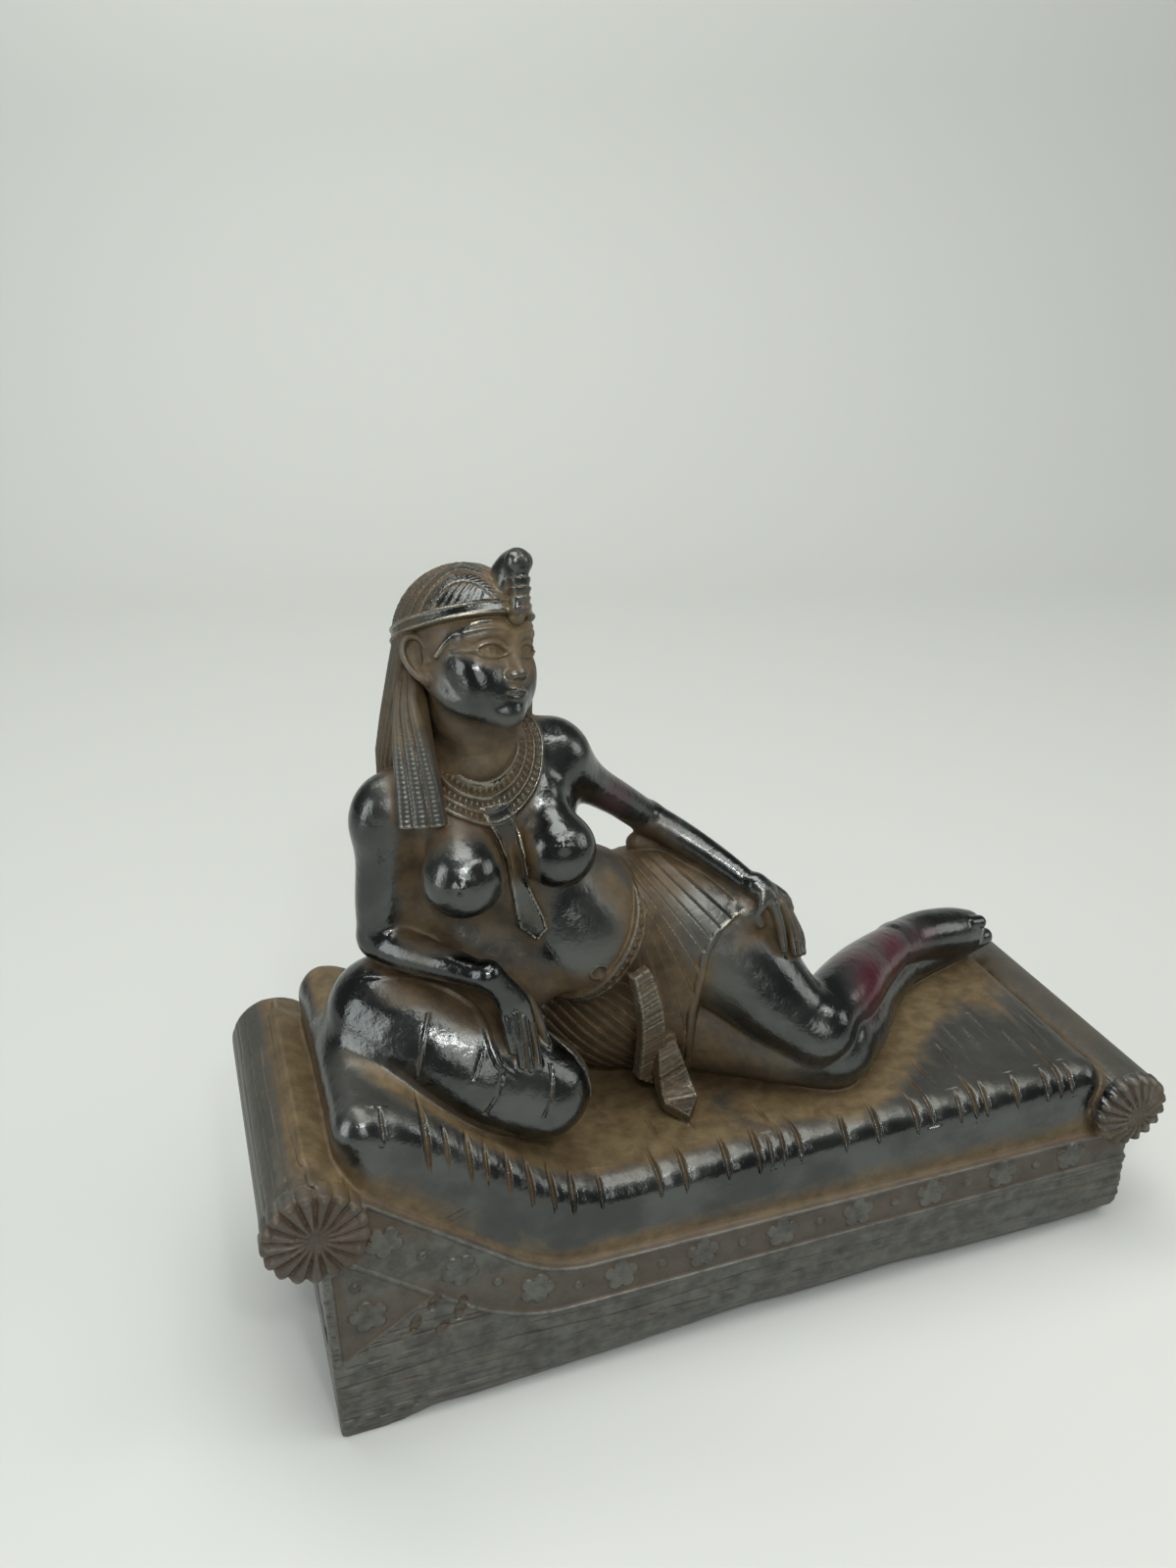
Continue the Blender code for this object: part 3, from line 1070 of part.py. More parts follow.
def past_hem(P):
    z = P[:, 2]
    bow = np.interp(z, (56.0, 62.0, 70.0, 78.0, 84.0, 88.3, 90.0, 91.2, 93.0, 97.0), (-0.4, -1.2, -2.0, -2.0, -2.3, -0.9, 1.7, 4.4, 10.0, 20.0)).astype(F)
    return P @ np.asarray(HEM_WAY, F) - (31.0 + 0.21 * (88.0 - z) + bow)


def pleats(P):
    """Pleats spread from a pole beside the navel; those of the flap under the sash run slanting."""
    x, z = P[:, 0], P[:, 2]
    th = np.degrees(np.arctan2(z - PLEAT_POLE[1], x - PLEAT_POLE[0]))
    far = np.hypot(z - PLEAT_POLE[1], x - PLEAT_POLE[0])
    u = (th + 0.22 * (far - 30)) / PLEAT_STEP
    flap = step(0.4, -0.4, x - np.interp(z, (48.0, 58.0, 68.0, 76.0, 86.0), (78.5, 77.0, 75.6, 74.2, 71.6)).astype(F))
    v = (x * 0.72 + z * 0.70) / 2.5
    u = np.where(flap > 0.5, v, u)
    u = u - np.floor(u)
    # each pleat rises slowly and drops sharply
    return (u - 0.5 - step(0.82, 1.0, u)) * step(4, 22, far) * (1 - 0.8 * step(37, 44, P[:, 1]))


def kilt(pts):
    """The body's own surface, thickened between the belt and the hem, with its pleats."""
    L = lower(pts)
    P = pts.P
    hem = past_hem(P)
    rim = step(-1.9, -1.1, hem)
    d = L.d - 1.0 - 0.85 * pleats(P) * (1 - rim) - 0.35 * rim
    cut = smax(below_belt(P) + 0.5, hem, 1.0)
    L.d = smax(d, cut, 0.8)
    return L


def belt(pts):
    L = Layer(pts)
    L.ell(WAIST_AT + np.array([6.5, -4.5, -8.0]), (13.0, 10.6, 13.0), WAIST)
    L.ell(WAIST_AT, (14.2, 10.6, 14.0), WAIST, 8)
    L.ell(PELVIS_AT, (22.5, 15.0, 15.6), PELVIS, 8)
    s = below_belt(pts.P)
    q = pts.P - np.asarray(BELT_AT, F)
    B = basis((0.5, 0.1, 0.8), BELT_UP)
    th = np.arctan2(q @ np.asarray(B[:, 1], F), q @ np.asarray(B[:, 0], F))
    studs = 0.5 * np.cos(th * 50)
    lift = 0.9 + 0.6 * bump(s - 0.35, 0.75) + 0.6 * bump(s + 3.0, 0.75) + studs * bump(s + 1.35, 1.2)
    L.d = np.maximum(L.d - lift, np.abs(s + 1.35) - 2.25)
    return L


def collar(pts, skin):
    """Broad collar: four raised cords with rows of beads between them."""
    P = pts.P
    q = local(P, COLLAR_AT, COLLAR_AXIS)
    rho = np.sqrt((q[:, 0] / COLLAR_WIDE) ** 2 + q[:, 1] ** 2)
    th = np.arctan2(q[:, 1], q[:, 0] / COLLAR_WIDE)
    lift = 0.5 * np.ones_like(rho)
    for r in CORDS:
        lift = lift + 0.55 * bump(rho - r, 0.62)
    for (a, b), n in zip(zip(CORDS[:-1], CORDS[1:]), (44, 56, 66)):
        lift = lift + 0.3 * np.cos(th * n) * bump(rho - (a + b) / 2, 0.75)
    ring = np.maximum(rho - CORDS[-1] - 0.35, CORDS[0] - 0.3 - rho)
    ring = np.maximum(ring, np.maximum(q[:, 2] - 3.6, -6.0 - q[:, 2]))
    ring = np.maximum(ring, np.minimum(38.5 - P[:, 0], P[:, 2] - 133.5))
    return np.maximum(skin - lift, ring)


def pendant(pts, skin):
    """Flat strap that hangs from the collar and ends in a point."""
    P = pts.P
    way = np.array([(44.6, 126.6, 3.2), (46.6, 121.0, 2.3), (47.2, 117.0, 1.7), (48.0, 112.0, 1.5), (49.6, 105.6, 2.3), (50.7, 101.0, 2.9), (51.2, 98.6, 2.9), (51.8, 95.6, 0.1)])
    z = P[:, 2]
    mid = np.interp(z, way[::-1, 1], way[::-1, 0])
    half = np.interp(z, way[::-1, 1], way[::-1, 2])
    side = (np.abs(P[:, 0] - mid) - half) * 0.8
    side = np.maximum(side, np.maximum(z - 127.4, 95.8 - z))
    side = np.maximum(side, P[:, 1] - 31)
    rim = bump(side + 0.35, 0.45)
    return np.maximum(skin - 0.8 - 0.2 * rim, side)


def sash(pts, fine):
    L = Layer(pts)
    for path, top in ((SASH_B, 0), (SASH_A, 1)):
        rows = np.array(path)
        s = spline(rows[:-1], 5)
        along = 0.0
        for a, b in list(zip(s[:-1], s[1:])) + [(rows[-2], rows[-1])]:
            L.put(lambda P, a=a, b=b, at=along: strap(P, a, b, at, fine), np.minimum(a, b)[:3] - 5, np.maximum(a, b)[:3] + 5, 0.0)
            along += float(np.linalg.norm(b[:3] - a[:3]))
    return L


def strap(P, a, b, start, fine):
    """A flat band from a to b, broad across x, with a groove every 1.9 mm."""
    ax = unit(b[:3] - a[:3])
    wide = unit(np.array([1.0, 0.25, 0.0]) - ax * (np.array([1.0, 0.25, 0.0]) @ ax))
    B = np.stack([wide, np.cross(wide, ax), ax], 1)
    q = local(P, (a[:3] + b[:3]) / 2, B)
    half = float(np.linalg.norm(b[:3] - a[:3])) / 2
    t = np.clip((q[:, 2] + half) / (2 * half), 0, 1)
    width = a[3] + (b[3] - a[3]) * t
    s = start + q[:, 2] + half
    rib = -0.10 * bump(s % 2.2 - 1.1, 0.5) - 0.34 * bump((s + 1.2) % 8.4 - 4.2, 0.5) + 0.2 * bump((s + 2.4) % 8.4 - 4.2, 0.6) if fine else 0
    rib = rib + 0.14 * bump(np.abs(q[:, 0]) - width + 0.45, 0.4) if fine else 0
    d = np.maximum((np.abs(q[:, 0]) - width) * 0.9, np.abs(q[:, 1]) - 1.3 - rib)
    return np.maximum(d, np.abs(q[:, 2]) - half - 0.25).astype(F)


def sculpt(P, fine):
    """Distance to the whole casting."""
    pts = Points(P)
    Q = pts.P
    d = frame(Q, fine)
    for at, side in ((HEAD_SCROLL, -1), (FOOT_SCROLL, 1)):
        cx, cz, r = at
        idx = pts.near((cx - r - 6, -9, cz - r - 6), (cx + r + 6, COUCH_DEPTH + 9, cz + r + 6))
        if idx is not None:
            y = Q[idx][:, 1]
            soft = 0.5 + 3.5 * step(3, 7, y) * step(62, 58, y)  # the roll runs softly into the couch's top
            d[idx] = smin(d[idx], scroll(Q[idx], at, side, fine).astype(F), soft.astype(F))
    idx = pts.near((-1, -4, 25), (189, 70, 84))
    if idx is not None:
        d[idx] = smin(d[idx], mattress(Q[idx], fine), 1.2)
    idx = pts.near((2, 2, 42), (66, 48, 96))
    if idx is not None:
        soft = 1.6 + 4.4 * step(26, 13, Q[idx][:, 0])  # its end by the couch's head sinks into the mattress
        d[idx] = smin(d[idx], bolster(Q[idx], fine), soft)
    idx = pts.near(FIGURE_LOW, FIGURE_HIGH)
    if idx is not None:
        d[idx] = smin(d[idx], figure(Q[idx], fine), 1.0)
    return pts.restore(d)


def figure(P, fine):
    pts = Points(P)
    Q = pts.P
    skin = body(pts).d
    hat = np.full(len(Q), BIG, F)
    idx = pts.near(*around(HEAD_AT, 28))
    if idx is not None:
        hp = Points(local(Q[idx], HEAD_AT, HEAD) / F(HEAD_SIZE))
        hd = hp.restore(head(hp).d) * F(HEAD_SIZE)
        skin[idx] = smin(skin[idx], hd, 1.5)
        hat[idx] = hp.restore(dress(hp, fine).d) * F(HEAD_SIZE)
    d = np.minimum(skin, collar(pts, skin))
    d = np.minimum(d, pendant(pts, skin))
    q = Q - np.asarray(NAVEL, F)
    q = np.sqrt((q * q).sum(1))
    d = smax(d - 0.3 * bump(q - 1.9, 0.7), 1.5 - q, 0.5)
    d = smin(d, kilt(pts).d, 0.5)
    d = smin(d, belt(pts).d, 0.4)
    d = smin(d, sash(pts, fine).d, 0.4)
    d = smin(d, hair(pts, fine).d, 0.5)
    d = smin(d, hat, 0.4)
    return pts.restore(d)


# ---------------------------------------------------------------- the solid
ORIGIN = (93.5, 32.5, 0.0)  # millimetres from the couch's corner to the middle of the footprint
LOW, HIGH = (-13.0, -6.0, -3.0), (200.0, 71.0, 180.0)
PITCH = 1.5
MOST_TRIANGLES = 9600


def build():
    for obj in list(bpy.data.objects):
        bpy.data.objects.remove(obj)
    values, low = sample(lambda P: sculpt(P, False), LOW, HIGH, PITCH)
    points, quads = surface_nets(part_touches(fill_voids(values)), low, PITCH)
    points, quads = largest(points, quads)
    points[points[:, 2] < 0.3, 2] = 0.0  # a flat underside
    points = (points - np.array(ORIGIN)) * 0.001
    mesh = bpy.data.meshes.new("reclining_queen_statue")
    mesh.from_pydata(points.tolist(), [], quads.tolist())
    mesh.update()
    obj = bpy.data.objects.new("reclining_queen_statue", mesh)
    bpy.context.scene.collection.objects.link(obj)
    material = bpy.data.materials.new("dark_cast_resin")
    material.use_nodes = True
    shader = material.node_tree.nodes["Principled BSDF"]
    shader.inputs["Base Color"].default_value = (0.035, 0.03, 0.026, 1)
    shader.inputs["Roughness"].default_value = 0.35
    shader.inputs["Metallic"].default_value = 0.0
    mesh.materials.append(material)
    mesh.shade_smooth()
    split = obj.modifiers.new("triangles", "TRIANGULATE")
    split.quad_method = "BEAUTY"
    thin = obj.modifiers.new("thin", "DECIMATE")
    thin.ratio = MOST_TRIANGLES / (2.0 * len(quads))
    return obj


build()
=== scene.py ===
"""Reclining Egyptian queen statuette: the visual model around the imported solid.

The casting is drawn from distance functions of named sizes, in millimetres from the couch's front left
lower corner, at a finer grid than the CAD solid and with the relief that the solid leaves out.
"""

import json
import math
from concurrent.futures import ThreadPoolExecutor

import bpy
import numpy as np
from mathutils import Matrix, Vector

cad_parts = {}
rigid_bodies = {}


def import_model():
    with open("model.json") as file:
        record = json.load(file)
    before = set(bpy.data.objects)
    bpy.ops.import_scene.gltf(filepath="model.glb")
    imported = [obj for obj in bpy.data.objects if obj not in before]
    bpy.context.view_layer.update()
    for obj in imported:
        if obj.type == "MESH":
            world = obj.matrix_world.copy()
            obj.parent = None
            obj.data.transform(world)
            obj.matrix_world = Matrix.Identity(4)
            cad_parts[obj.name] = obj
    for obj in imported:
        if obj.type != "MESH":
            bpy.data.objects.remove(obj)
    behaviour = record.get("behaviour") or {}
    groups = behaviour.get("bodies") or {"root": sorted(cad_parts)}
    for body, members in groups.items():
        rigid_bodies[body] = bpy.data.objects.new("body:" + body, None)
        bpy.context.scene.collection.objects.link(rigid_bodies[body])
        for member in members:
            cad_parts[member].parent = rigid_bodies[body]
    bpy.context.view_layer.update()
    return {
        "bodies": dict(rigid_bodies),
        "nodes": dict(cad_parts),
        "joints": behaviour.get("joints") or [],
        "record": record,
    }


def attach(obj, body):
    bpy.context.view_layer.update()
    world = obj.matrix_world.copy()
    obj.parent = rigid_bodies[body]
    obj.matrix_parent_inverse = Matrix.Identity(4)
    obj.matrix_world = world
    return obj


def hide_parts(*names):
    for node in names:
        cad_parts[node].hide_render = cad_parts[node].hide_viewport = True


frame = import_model()


F = np.float32
BIG = F(60.0)


# ---------------------------------------------------------------- vectors
def unit(v):
    v = np.array(v, float)
    return v / np.linalg.norm(v)


def basis(left, up):
    """Columns: left, front, up of a body part. Front is left x up."""
    u = unit(up)
    l = np.array(left, float)
    l = unit(l - u * (l @ u))
    return np.stack([l, np.cross(l, u), u], 1)


def turn(axis, degrees):
    a, t = unit(axis), math.radians(degrees)
    k = np.array([[0, -a[2], a[1]], [a[2], 0, -a[0]], [-a[1], a[0], 0]])
    return np.eye(3) + math.sin(t) * k + (1 - math.cos(t)) * (k @ k)


# ---------------------------------------------------------------- distance functions
def smin(a, b, k):
    h = np.maximum(k - np.abs(a - b), 0) / k
    return np.minimum(a, b) - h * h * (k * 0.25)


def smax(a, b, k):
    h = np.maximum(k - np.abs(a - b), 0) / k
    return np.maximum(a, b) + h * h * (k * 0.25)


def step(e0, e1, x):
    t = np.clip((x - e0) / (e1 - e0), 0, 1)
    return t * t * (3 - 2 * t)


def bump(x, w):
    """1 at x = 0, falling smoothly to 0 at |x| = w."""
    t = np.clip(1 - np.abs(x) / w, 0, 1)
    return t * t * (3 - 2 * t)


def local(P, c, B):
    return (P - np.asarray(c, F)) @ np.asarray(B, F)


def ell(P, c, r, B=None):
    q = P - np.asarray(c, F) if B is None else local(P, c, B)
    r = np.asarray(r, F)
    k0 = np.sqrt(((q / r) ** 2).sum(1))
    k1 = np.sqrt(((q / (r * r)) ** 2).sum(1)) + F(1e-9)
    return k0 * (k0 - 1) / k1


def cone(P, a, b, ra, rb):
    """A round cone: two spheres and the skin over them."""
    a, b = np.asarray(a, F), np.asarray(b, F)
    ba = b - a
    l2 = float(ba @ ba)
    rr = ra - rb
    a2 = l2 - rr * rr
    if a2 <= 0:
        c, r = (a, ra) if ra > rb else (b, rb)
        return np.sqrt(((P - c) ** 2).sum(1)) - F(r)
    il2 = 1 / l2
    pa = P - a
    y = pa @ ba
    z = y - l2
    w = pa * F(l2) - y[:, None] * ba
    x2 = (w * w).sum(1)
    y2, z2 = y * y * l2, z * z * l2
    k = np.sign(rr) * rr * rr * x2
    out = (np.sqrt(x2 * a2 * il2) + y * rr) * il2 - ra
    m1 = np.sign(z) * a2 * z2 > k
    m2 = ~m1 & (np.sign(y) * a2 * y2 < k)
    out[m1] = np.sqrt(x2[m1] + z2[m1]) * il2 - rb
    out[m2] = np.sqrt(x2[m2] + y2[m2]) * il2 - ra
    return out.astype(F)


def spline(stations, n=4):
    """Catmull-Rom through rows of numbers (any columns)."""
    s = np.array(stations, float)
    s = np.vstack([2 * s[0] - s[1], s, 2 * s[-1] - s[-2]])
    out = []
    for i in range(1, len(s) - 2):
        p0, p1, p2, p3 = s[i - 1 : i + 3]
        for t in np.arange(n) / n:
            out.append(
                0.5
                * (
                    2 * p1
                    + (p2 - p0) * t
                    + (2 * p0 - 5 * p1 + 4 * p2 - p3) * t * t
                    + (3 * p1 - p0 - 3 * p2 + p3) * t**3
                )
            )
    out.append(s[-2])
    return np.array(out)


def limb(P, stations, n=4, k=0.0):
    """A chain of round cones through (x, y, z, r) rows."""
    s = spline(stations, n) if n > 1 else np.array(stations, float)
    d = None
    for a, b in zip(s[:-1], s[1:]):
        e = cone(P, a[:3], b[:3], a[3], b[3])
        d = e if d is None else (np.minimum(d, e) if k == 0 else smin(d, e, k))
    return d


def box_of(stations):
    s = np.array(stations, float)
    r = s[:, 3:4]
    return (s[:, :3] - r).min(0) - 2, (s[:, :3] + r).max(0) + 2


class Points:
    """Points sorted into cells of 16 mm, so that a small shape is only worked out near itself."""

    CELL = 16.0

    def __init__(self, P):
        self.P = np.ascontiguousarray(P, F)
        self.lo = self.P.min(0) - 1
        ijk = ((self.P - self.lo) / self.CELL).astype(np.int64)
        self.n = ijk.max(0) + 1
        key = (ijk[:, 0] * self.n[1] + ijk[:, 1]) * self.n[2] + ijk[:, 2]
        self.order = np.argsort(key, kind="stable")
        self.P = self.P[self.order]
        self.start = np.searchsorted(
            key[self.order], np.arange(int(np.prod(self.n)) + 1)
        )

    def near(self, lo, hi):
        a = np.clip(((np.asarray(lo) - self.lo) / self.CELL).astype(int), 0, self.n - 1)
        b = np.clip(((np.asarray(hi) - self.lo) / self.CELL).astype(int), 0, self.n - 1)
        if (np.asarray(hi) < self.lo).any() or (
            np.asarray(lo) > self.lo + self.n * self.CELL
        ).any():
            return None
        runs = []
        for i in range(a[0], b[0] + 1):
            for j in range(a[1], b[1] + 1):
                base = (i * self.n[1] + j) * self.n[2]
                s, e = self.start[base + a[2]], self.start[base + b[2] + 1]
                if e > s:
                    runs.append(np.arange(s, e))
        if not runs:
            return None
        idx = np.concatenate(runs)
        Q = self.P[idx]
        m = ((Q > np.asarray(lo, F)) & (Q < np.asarray(hi, F))).all(1)
        idx = idx[m]
        return idx if len(idx) else None

    def restore(self, v):
        out = np.empty_like(v)
        out[self.order] = v
        return out


class Layer:
    """One distance value per point, built up shape by shape."""

    def __init__(self, pts, margin=5.0):
        self.pts, self.margin = pts, margin
        self.d = np.full(len(pts.P), BIG, F)

    def put(self, fn, lo, hi, k=0.0, op="add"):
        m = self.margin + k
        idx = self.pts.near(np.asarray(lo, float) - m, np.asarray(hi, float) + m)
        if idx is None:
            return
        v = fn(self.pts.P[idx]).astype(F)
        d = self.d[idx]
        if op == "add":
            self.d[idx] = smin(d, v, k) if k > 0 else np.minimum(d, v)
        elif op == "cut":
            self.d[idx] = smax(d, -v, k) if k > 0 else np.maximum(d, -v)
        elif op == "keep":
            self.d[idx] = smax(d, v, k) if k > 0 else np.maximum(d, v)
        elif op == "shift":
            self.d[idx] = d + v

    def ell(self, c, r, B=None, k=0.0, op="add"):
        R = max(r)
        c = np.asarray(c, float)
        self.put(lambda P: ell(P, c, r, B), c - R, c + R, k, op)

    def limb(self, stations, k=0.0, n=4, op="add"):
        lo, hi = box_of(stations)
        self.put(lambda P: limb(P, stations, n), lo, hi, k, op)


# ---------------------------------------------------------------- polygoniser
CORNERS = [(i, j, k) for i in (0, 1) for j in (0, 1) for k in (0, 1)]
EDGES = [
    (a, b)
    for a in range(8)
    for b in range(a + 1, 8)
    if sum(abs(x - y) for x, y in zip(CORNERS[a], CORNERS[b])) == 1
]


def sample(field, lo, hi, h, coarse=8, slack=1.35):
    """Field values on a grid of pitch h between lo and hi, worked out only in blocks that the surface may cross."""
    lo = np.asarray(lo, float)
    n = np.ceil((np.asarray(hi, float) - lo) / h / coarse).astype(int)
    H = h * coarse
    axes = [lo[a] + H * np.arange(n[a] + 1) for a in range(3)]
    G = np.stack(np.meshgrid(*axes, indexing="ij"), -1).reshape(-1, 3).astype(F)
    V0 = field(G).reshape(n + 1)
    C = np.stack(
        [
            V0[i : i + n[0], j : j + n[1], k : k + n[2]]
            for i, j, k in CORNERS
        ]
    )
    centre = (
        lo + H * (np.stack(np.meshgrid(*[np.arange(m) for m in n], indexing="ij"), -1) + 0.5)
    ).reshape(-1, 3)
    Vc = field(centre.astype(F)).reshape(n)
    active = (np.abs(Vc) < slack * H * 0.87) | (C.min(0) * C.max(0) <= 0)
    fine = n * coarse + 1
    sign = np.where(Vc < 0, F(-BIG), F(BIG))
    V = np.full(fine, BIG, F)
    core = np.repeat(np.repeat(np.repeat(sign, coarse, 0), coarse, 1), coarse, 2)
    V[:-1, :-1, :-1] = core
    V[-1] = V[-2]
    V[:, -1] = V[:, -2]
    V[:, :, -1] = V[:, :, -2]
    bi = np.argwhere(active)
    o = np.arange(coarse + 1)
    off = np.stack(np.meshgrid(o, o, o, indexing="ij"), -1).reshape(-1, 3)
    need = np.zeros(fine, bool)
    for s in range(0, len(bi), 4096):
        g = (bi[s : s + 4096, None, :] * coarse + off).reshape(-1, 3)
        need[g[:, 0], g[:, 1], g[:, 2]] = True
    idx = np.argwhere(need)
    vals = np.empty(len(idx), F)
    for s in range(0, len(idx), 2000000):
        part = idx[s : s + 2000000]
        vals[s : s + len(part)] = field((lo + h * part).astype(F))
    V[idx[:, 0], idx[:, 1], idx[:, 2]] = vals
    return V, lo


def fill_voids(V):
    """Makes solid every pocket that the open air can't reach."""
    air = V >= 0
    out = np.zeros_like(air)
    out[0], out[-1] = air[0], air[-1]
    while True:
        before = np.count_nonzero(out)
        for axis in range(3):
            a, o = np.moveaxis(air, axis, 0), np.moveaxis(out, axis, 0)
            for i in range(1, len(a)):
                o[i] |= o[i - 1] & a[i]
            for i in range(len(a) - 2, -1, -1):
                o[i] |= o[i + 1] & a[i]
        if np.count_nonzero(out) == before:
            break
    shut = air & ~out
    V[shut] = -V[shut] - F(0.01)
    return V


def part_touches(V):
    """Fills the few grid corners where two walls would meet along one line or at one point."""
    tiny = F(0.02)
    for _ in range(12):
        found = 0
        inside = V < 0
        for axis in range(3):
            u, w = (axis + 1) % 3, (axis + 2) % 3

            def at(A, i, j):
                cut = [slice(None)] * 3
                cut[u] = slice(i, A.shape[u] - 1 + i)
                cut[w] = slice(j, A.shape[w] - 1 + j)
                return A[tuple(cut)]

            a, b, c, d = (at(inside, *ij) for ij in ((0, 0), (1, 0), (1, 1), (0, 1)))
            for p, q, offs in (((a & c) & ~(b | d), None, ((1, 0), (0, 1))), ((b & d) & ~(a | c), None, ((0, 0), (1, 1)))):
                cells = np.argwhere(p)
                found += len(cells)
                if not len(cells):
                    continue
                pick = []
                for i, j in offs:
                    g = cells.copy()
                    g[:, u] += i
                    g[:, w] += j
                    pick.append(g)
                v = [V[g[:, 0], g[:, 1], g[:, 2]] for g in pick]
                g = np.where((v[0] < v[1])[:, None], pick[0], pick[1])
                V[g[:, 0], g[:, 1], g[:, 2]] = -tiny
        inside = V < 0
        n = np.array(V.shape) - 1
        cnt = np.zeros(n, np.uint8)
        for i, j, k in CORNERS:
            cnt += inside[i : i + n[0], j : j + n[1], k : k + n[2]]
        for i, j, k in CORNERS[:4]:
            p = inside[i : i + n[0], j : j + n[1], k : k + n[2]]
            q = inside[1 - i : 1 - i + n[0], 1 - j : 1 - j + n[1], 1 - k : 1 - k + n[2]]
            lone = (cnt == 2) & p & q
            hole = (cnt == 6) & ~p & ~q
            for mask, value in ((lone, tiny), (hole, -tiny)):
                g = np.argwhere(mask)
                found += len(g)
                if len(g):
                    V[g[:, 0] + i, g[:, 1] + j, g[:, 2] + k] = value
        if not found:
            break
    return V


def surface_nets(V, lo, h):
    """(points, quads) of the zero level of V."""
    inside = V < 0
    n = np.array(V.shape) - 1
    cnt = np.zeros(n, np.uint8)
    for i, j, k in CORNERS:
        cnt += inside[i : i + n[0], j : j + n[1], k : k + n[2]]
    active = (cnt > 0) & (cnt < 8)
    cells = np.argwhere(active)
    index = np.full(n, -1, np.int32)
    index[active] = np.arange(len(cells), dtype=np.int32)
    vals = np.stack(
        [V[cells[:, 0] + i, cells[:, 1] + j, cells[:, 2] + k] for i, j, k in CORNERS], 1
    )
    acc = np.zeros((len(cells), 3))
    num = np.zeros(len(cells))
    corner = np.array(CORNERS, float)
    for a, b in EDGES:
        va, vb = vals[:, a], vals[:, b]
        m = (va < 0) != (vb < 0)
        t = va[m] / (va[m] - vb[m])
        acc[m] += corner[a] + t[:, None] * (corner[b] - corner[a])
        num[m] += 1
    pts = lo + h * (cells + acc / num[:, None])
    quads = []
    for axis in range(3):
        b, c = (axis + 1) % 3, (axis + 2) % 3
        sl0 = [slice(None)] * 3
        sl1 = [slice(None)] * 3
        sl0[axis], sl1[axis] = slice(0, -1), slice(1, None)
        s0, s1 = inside[tuple(sl0)], inside[tuple(sl1)]
        e = np.argwhere(s0 != s1)
        e = e[(e[:, b] > 0) & (e[:, c] > 0) & (e[:, b] < n[b]) & (e[:, c] < n[c])]
        first = s0[e[:, 0], e[:, 1], e[:, 2]]
        ring = []
        for db, dc in ((-1, -1), (0, -1), (0, 0), (-1, 0)):
            q = e.copy()
            q[:, b] += db
            q[:, c] += dc
            ring.append(index[q[:, 0], q[:, 1], q[:, 2]])
        ring = np.stack(ring, 1)
        ring[~first] = ring[~first][:, ::-1]
        quads.append(ring)
    return pts, np.concatenate(quads)


def largest(pts, quads):
    """The biggest connected surface: drops any bubble shut in between the forms."""
    label = np.arange(len(pts))
    a, b = quads[:, [0, 1, 2]].ravel(), quads[:, [1, 2, 3]].ravel()
    while True:
        m = np.minimum(label[a], label[b])
        new = label.copy()
        np.minimum.at(new, a, m)
        np.minimum.at(new, b, m)
        new = new[new]
        new = new[new]
        if (new == label).all():
            break
        label = new
    names, count = np.unique(label, return_counts=True)
    keep = label == names[np.argmax(count)]
    index = np.cumsum(keep) - 1
    return pts[keep], index[quads[keep[quads[:, 0]]]]


# ---------------------------------------------------------------- named sizes, millimetres
# x runs along the couch, y to the back, z up, from the couch's front left lower corner.
COUCH_LENGTH = 190.0
COUCH_DEPTH = 65.0
CREST_FLAT = 30.2  # top of the carved band along the flat part
CREST_SLOPE = -0.83  # and its slope at the head end
CREST_SLOPE_AT_0 = 68.6
BAND_FLAT = 19.9  # foot of the carved band
BAND_SLOPE_AT_0 = 51.2
HEAD_SCROLL = (0.0, 56.7, 10.3)  # x, z, radius
FOOT_SCROLL = (187.9, 34.5, 9.45)
SCROLL_OVERHANG = 3.0
PETALS = 17
MATTRESS_TOP = 47.0
MATTRESS_SLOPE_AT_0 = 92.5
MATTRESS_HEAD_TOP = 77.5
MATTRESS_ENDS = (6.0, 182.5)
MATTRESS_FACES = (1.9, 62.6)
MATTRESS_ROUND = 6.2
FLOWER_PITCH = 18.7
# the mattress's gathers, rows of x, reach over the top, drop down the front, half width, depth
GATHERS = (
    (15.4, 5, 4, 0.6, 0.7), (23.0, 14, 9, 0.9, 1.0), (26.8, 6, 5, 0.6, 0.7), (31.2, 8, 6, 0.8, 0.9), (34.4, 7, 5, 0.6, 0.8),
    (38.4, 7, 5, 0.7, 0.9), (42.8, 8, 6, 0.8, 1.0), (47.6, 9, 6, 0.8, 1.0), (51.8, 8, 7, 0.9, 1.0), (57.5, 7, 5, 0.8, 0.9),
    (70.6, 13, 6, 0.9, 1.1), (76.9, 12, 6, 0.9, 1.1), (86.8, 11, 5, 0.9, 1.1), (94.0, 12, 6, 1.0, 1.2), (96.9, 6, 4, 0.6, 0.8),
    (99.6, 12, 5, 0.6, 0.9), (103.2, 12, 4, 0.8, 1.1), (114.5, 8, 5, 0.9, 1.2), (122.0, 10, 5, 1.0, 1.2), (131.8, 9, 5, 1.0, 1.2),
    (135.8, 20, 3, 0.7, 0.8), (143.3, 6, 5, 0.8, 1.0), (147.2, 14, 5, 0.9, 1.1), (150.2, 8, 5, 0.9, 1.1), (158.4, 7, 5, 0.9, 1.1),
    (166.0, 7, 5, 0.9, 1.0), (169.5, 20, 5, 0.8, 0.9), (172.4, 7, 4, 0.7, 0.8),
)
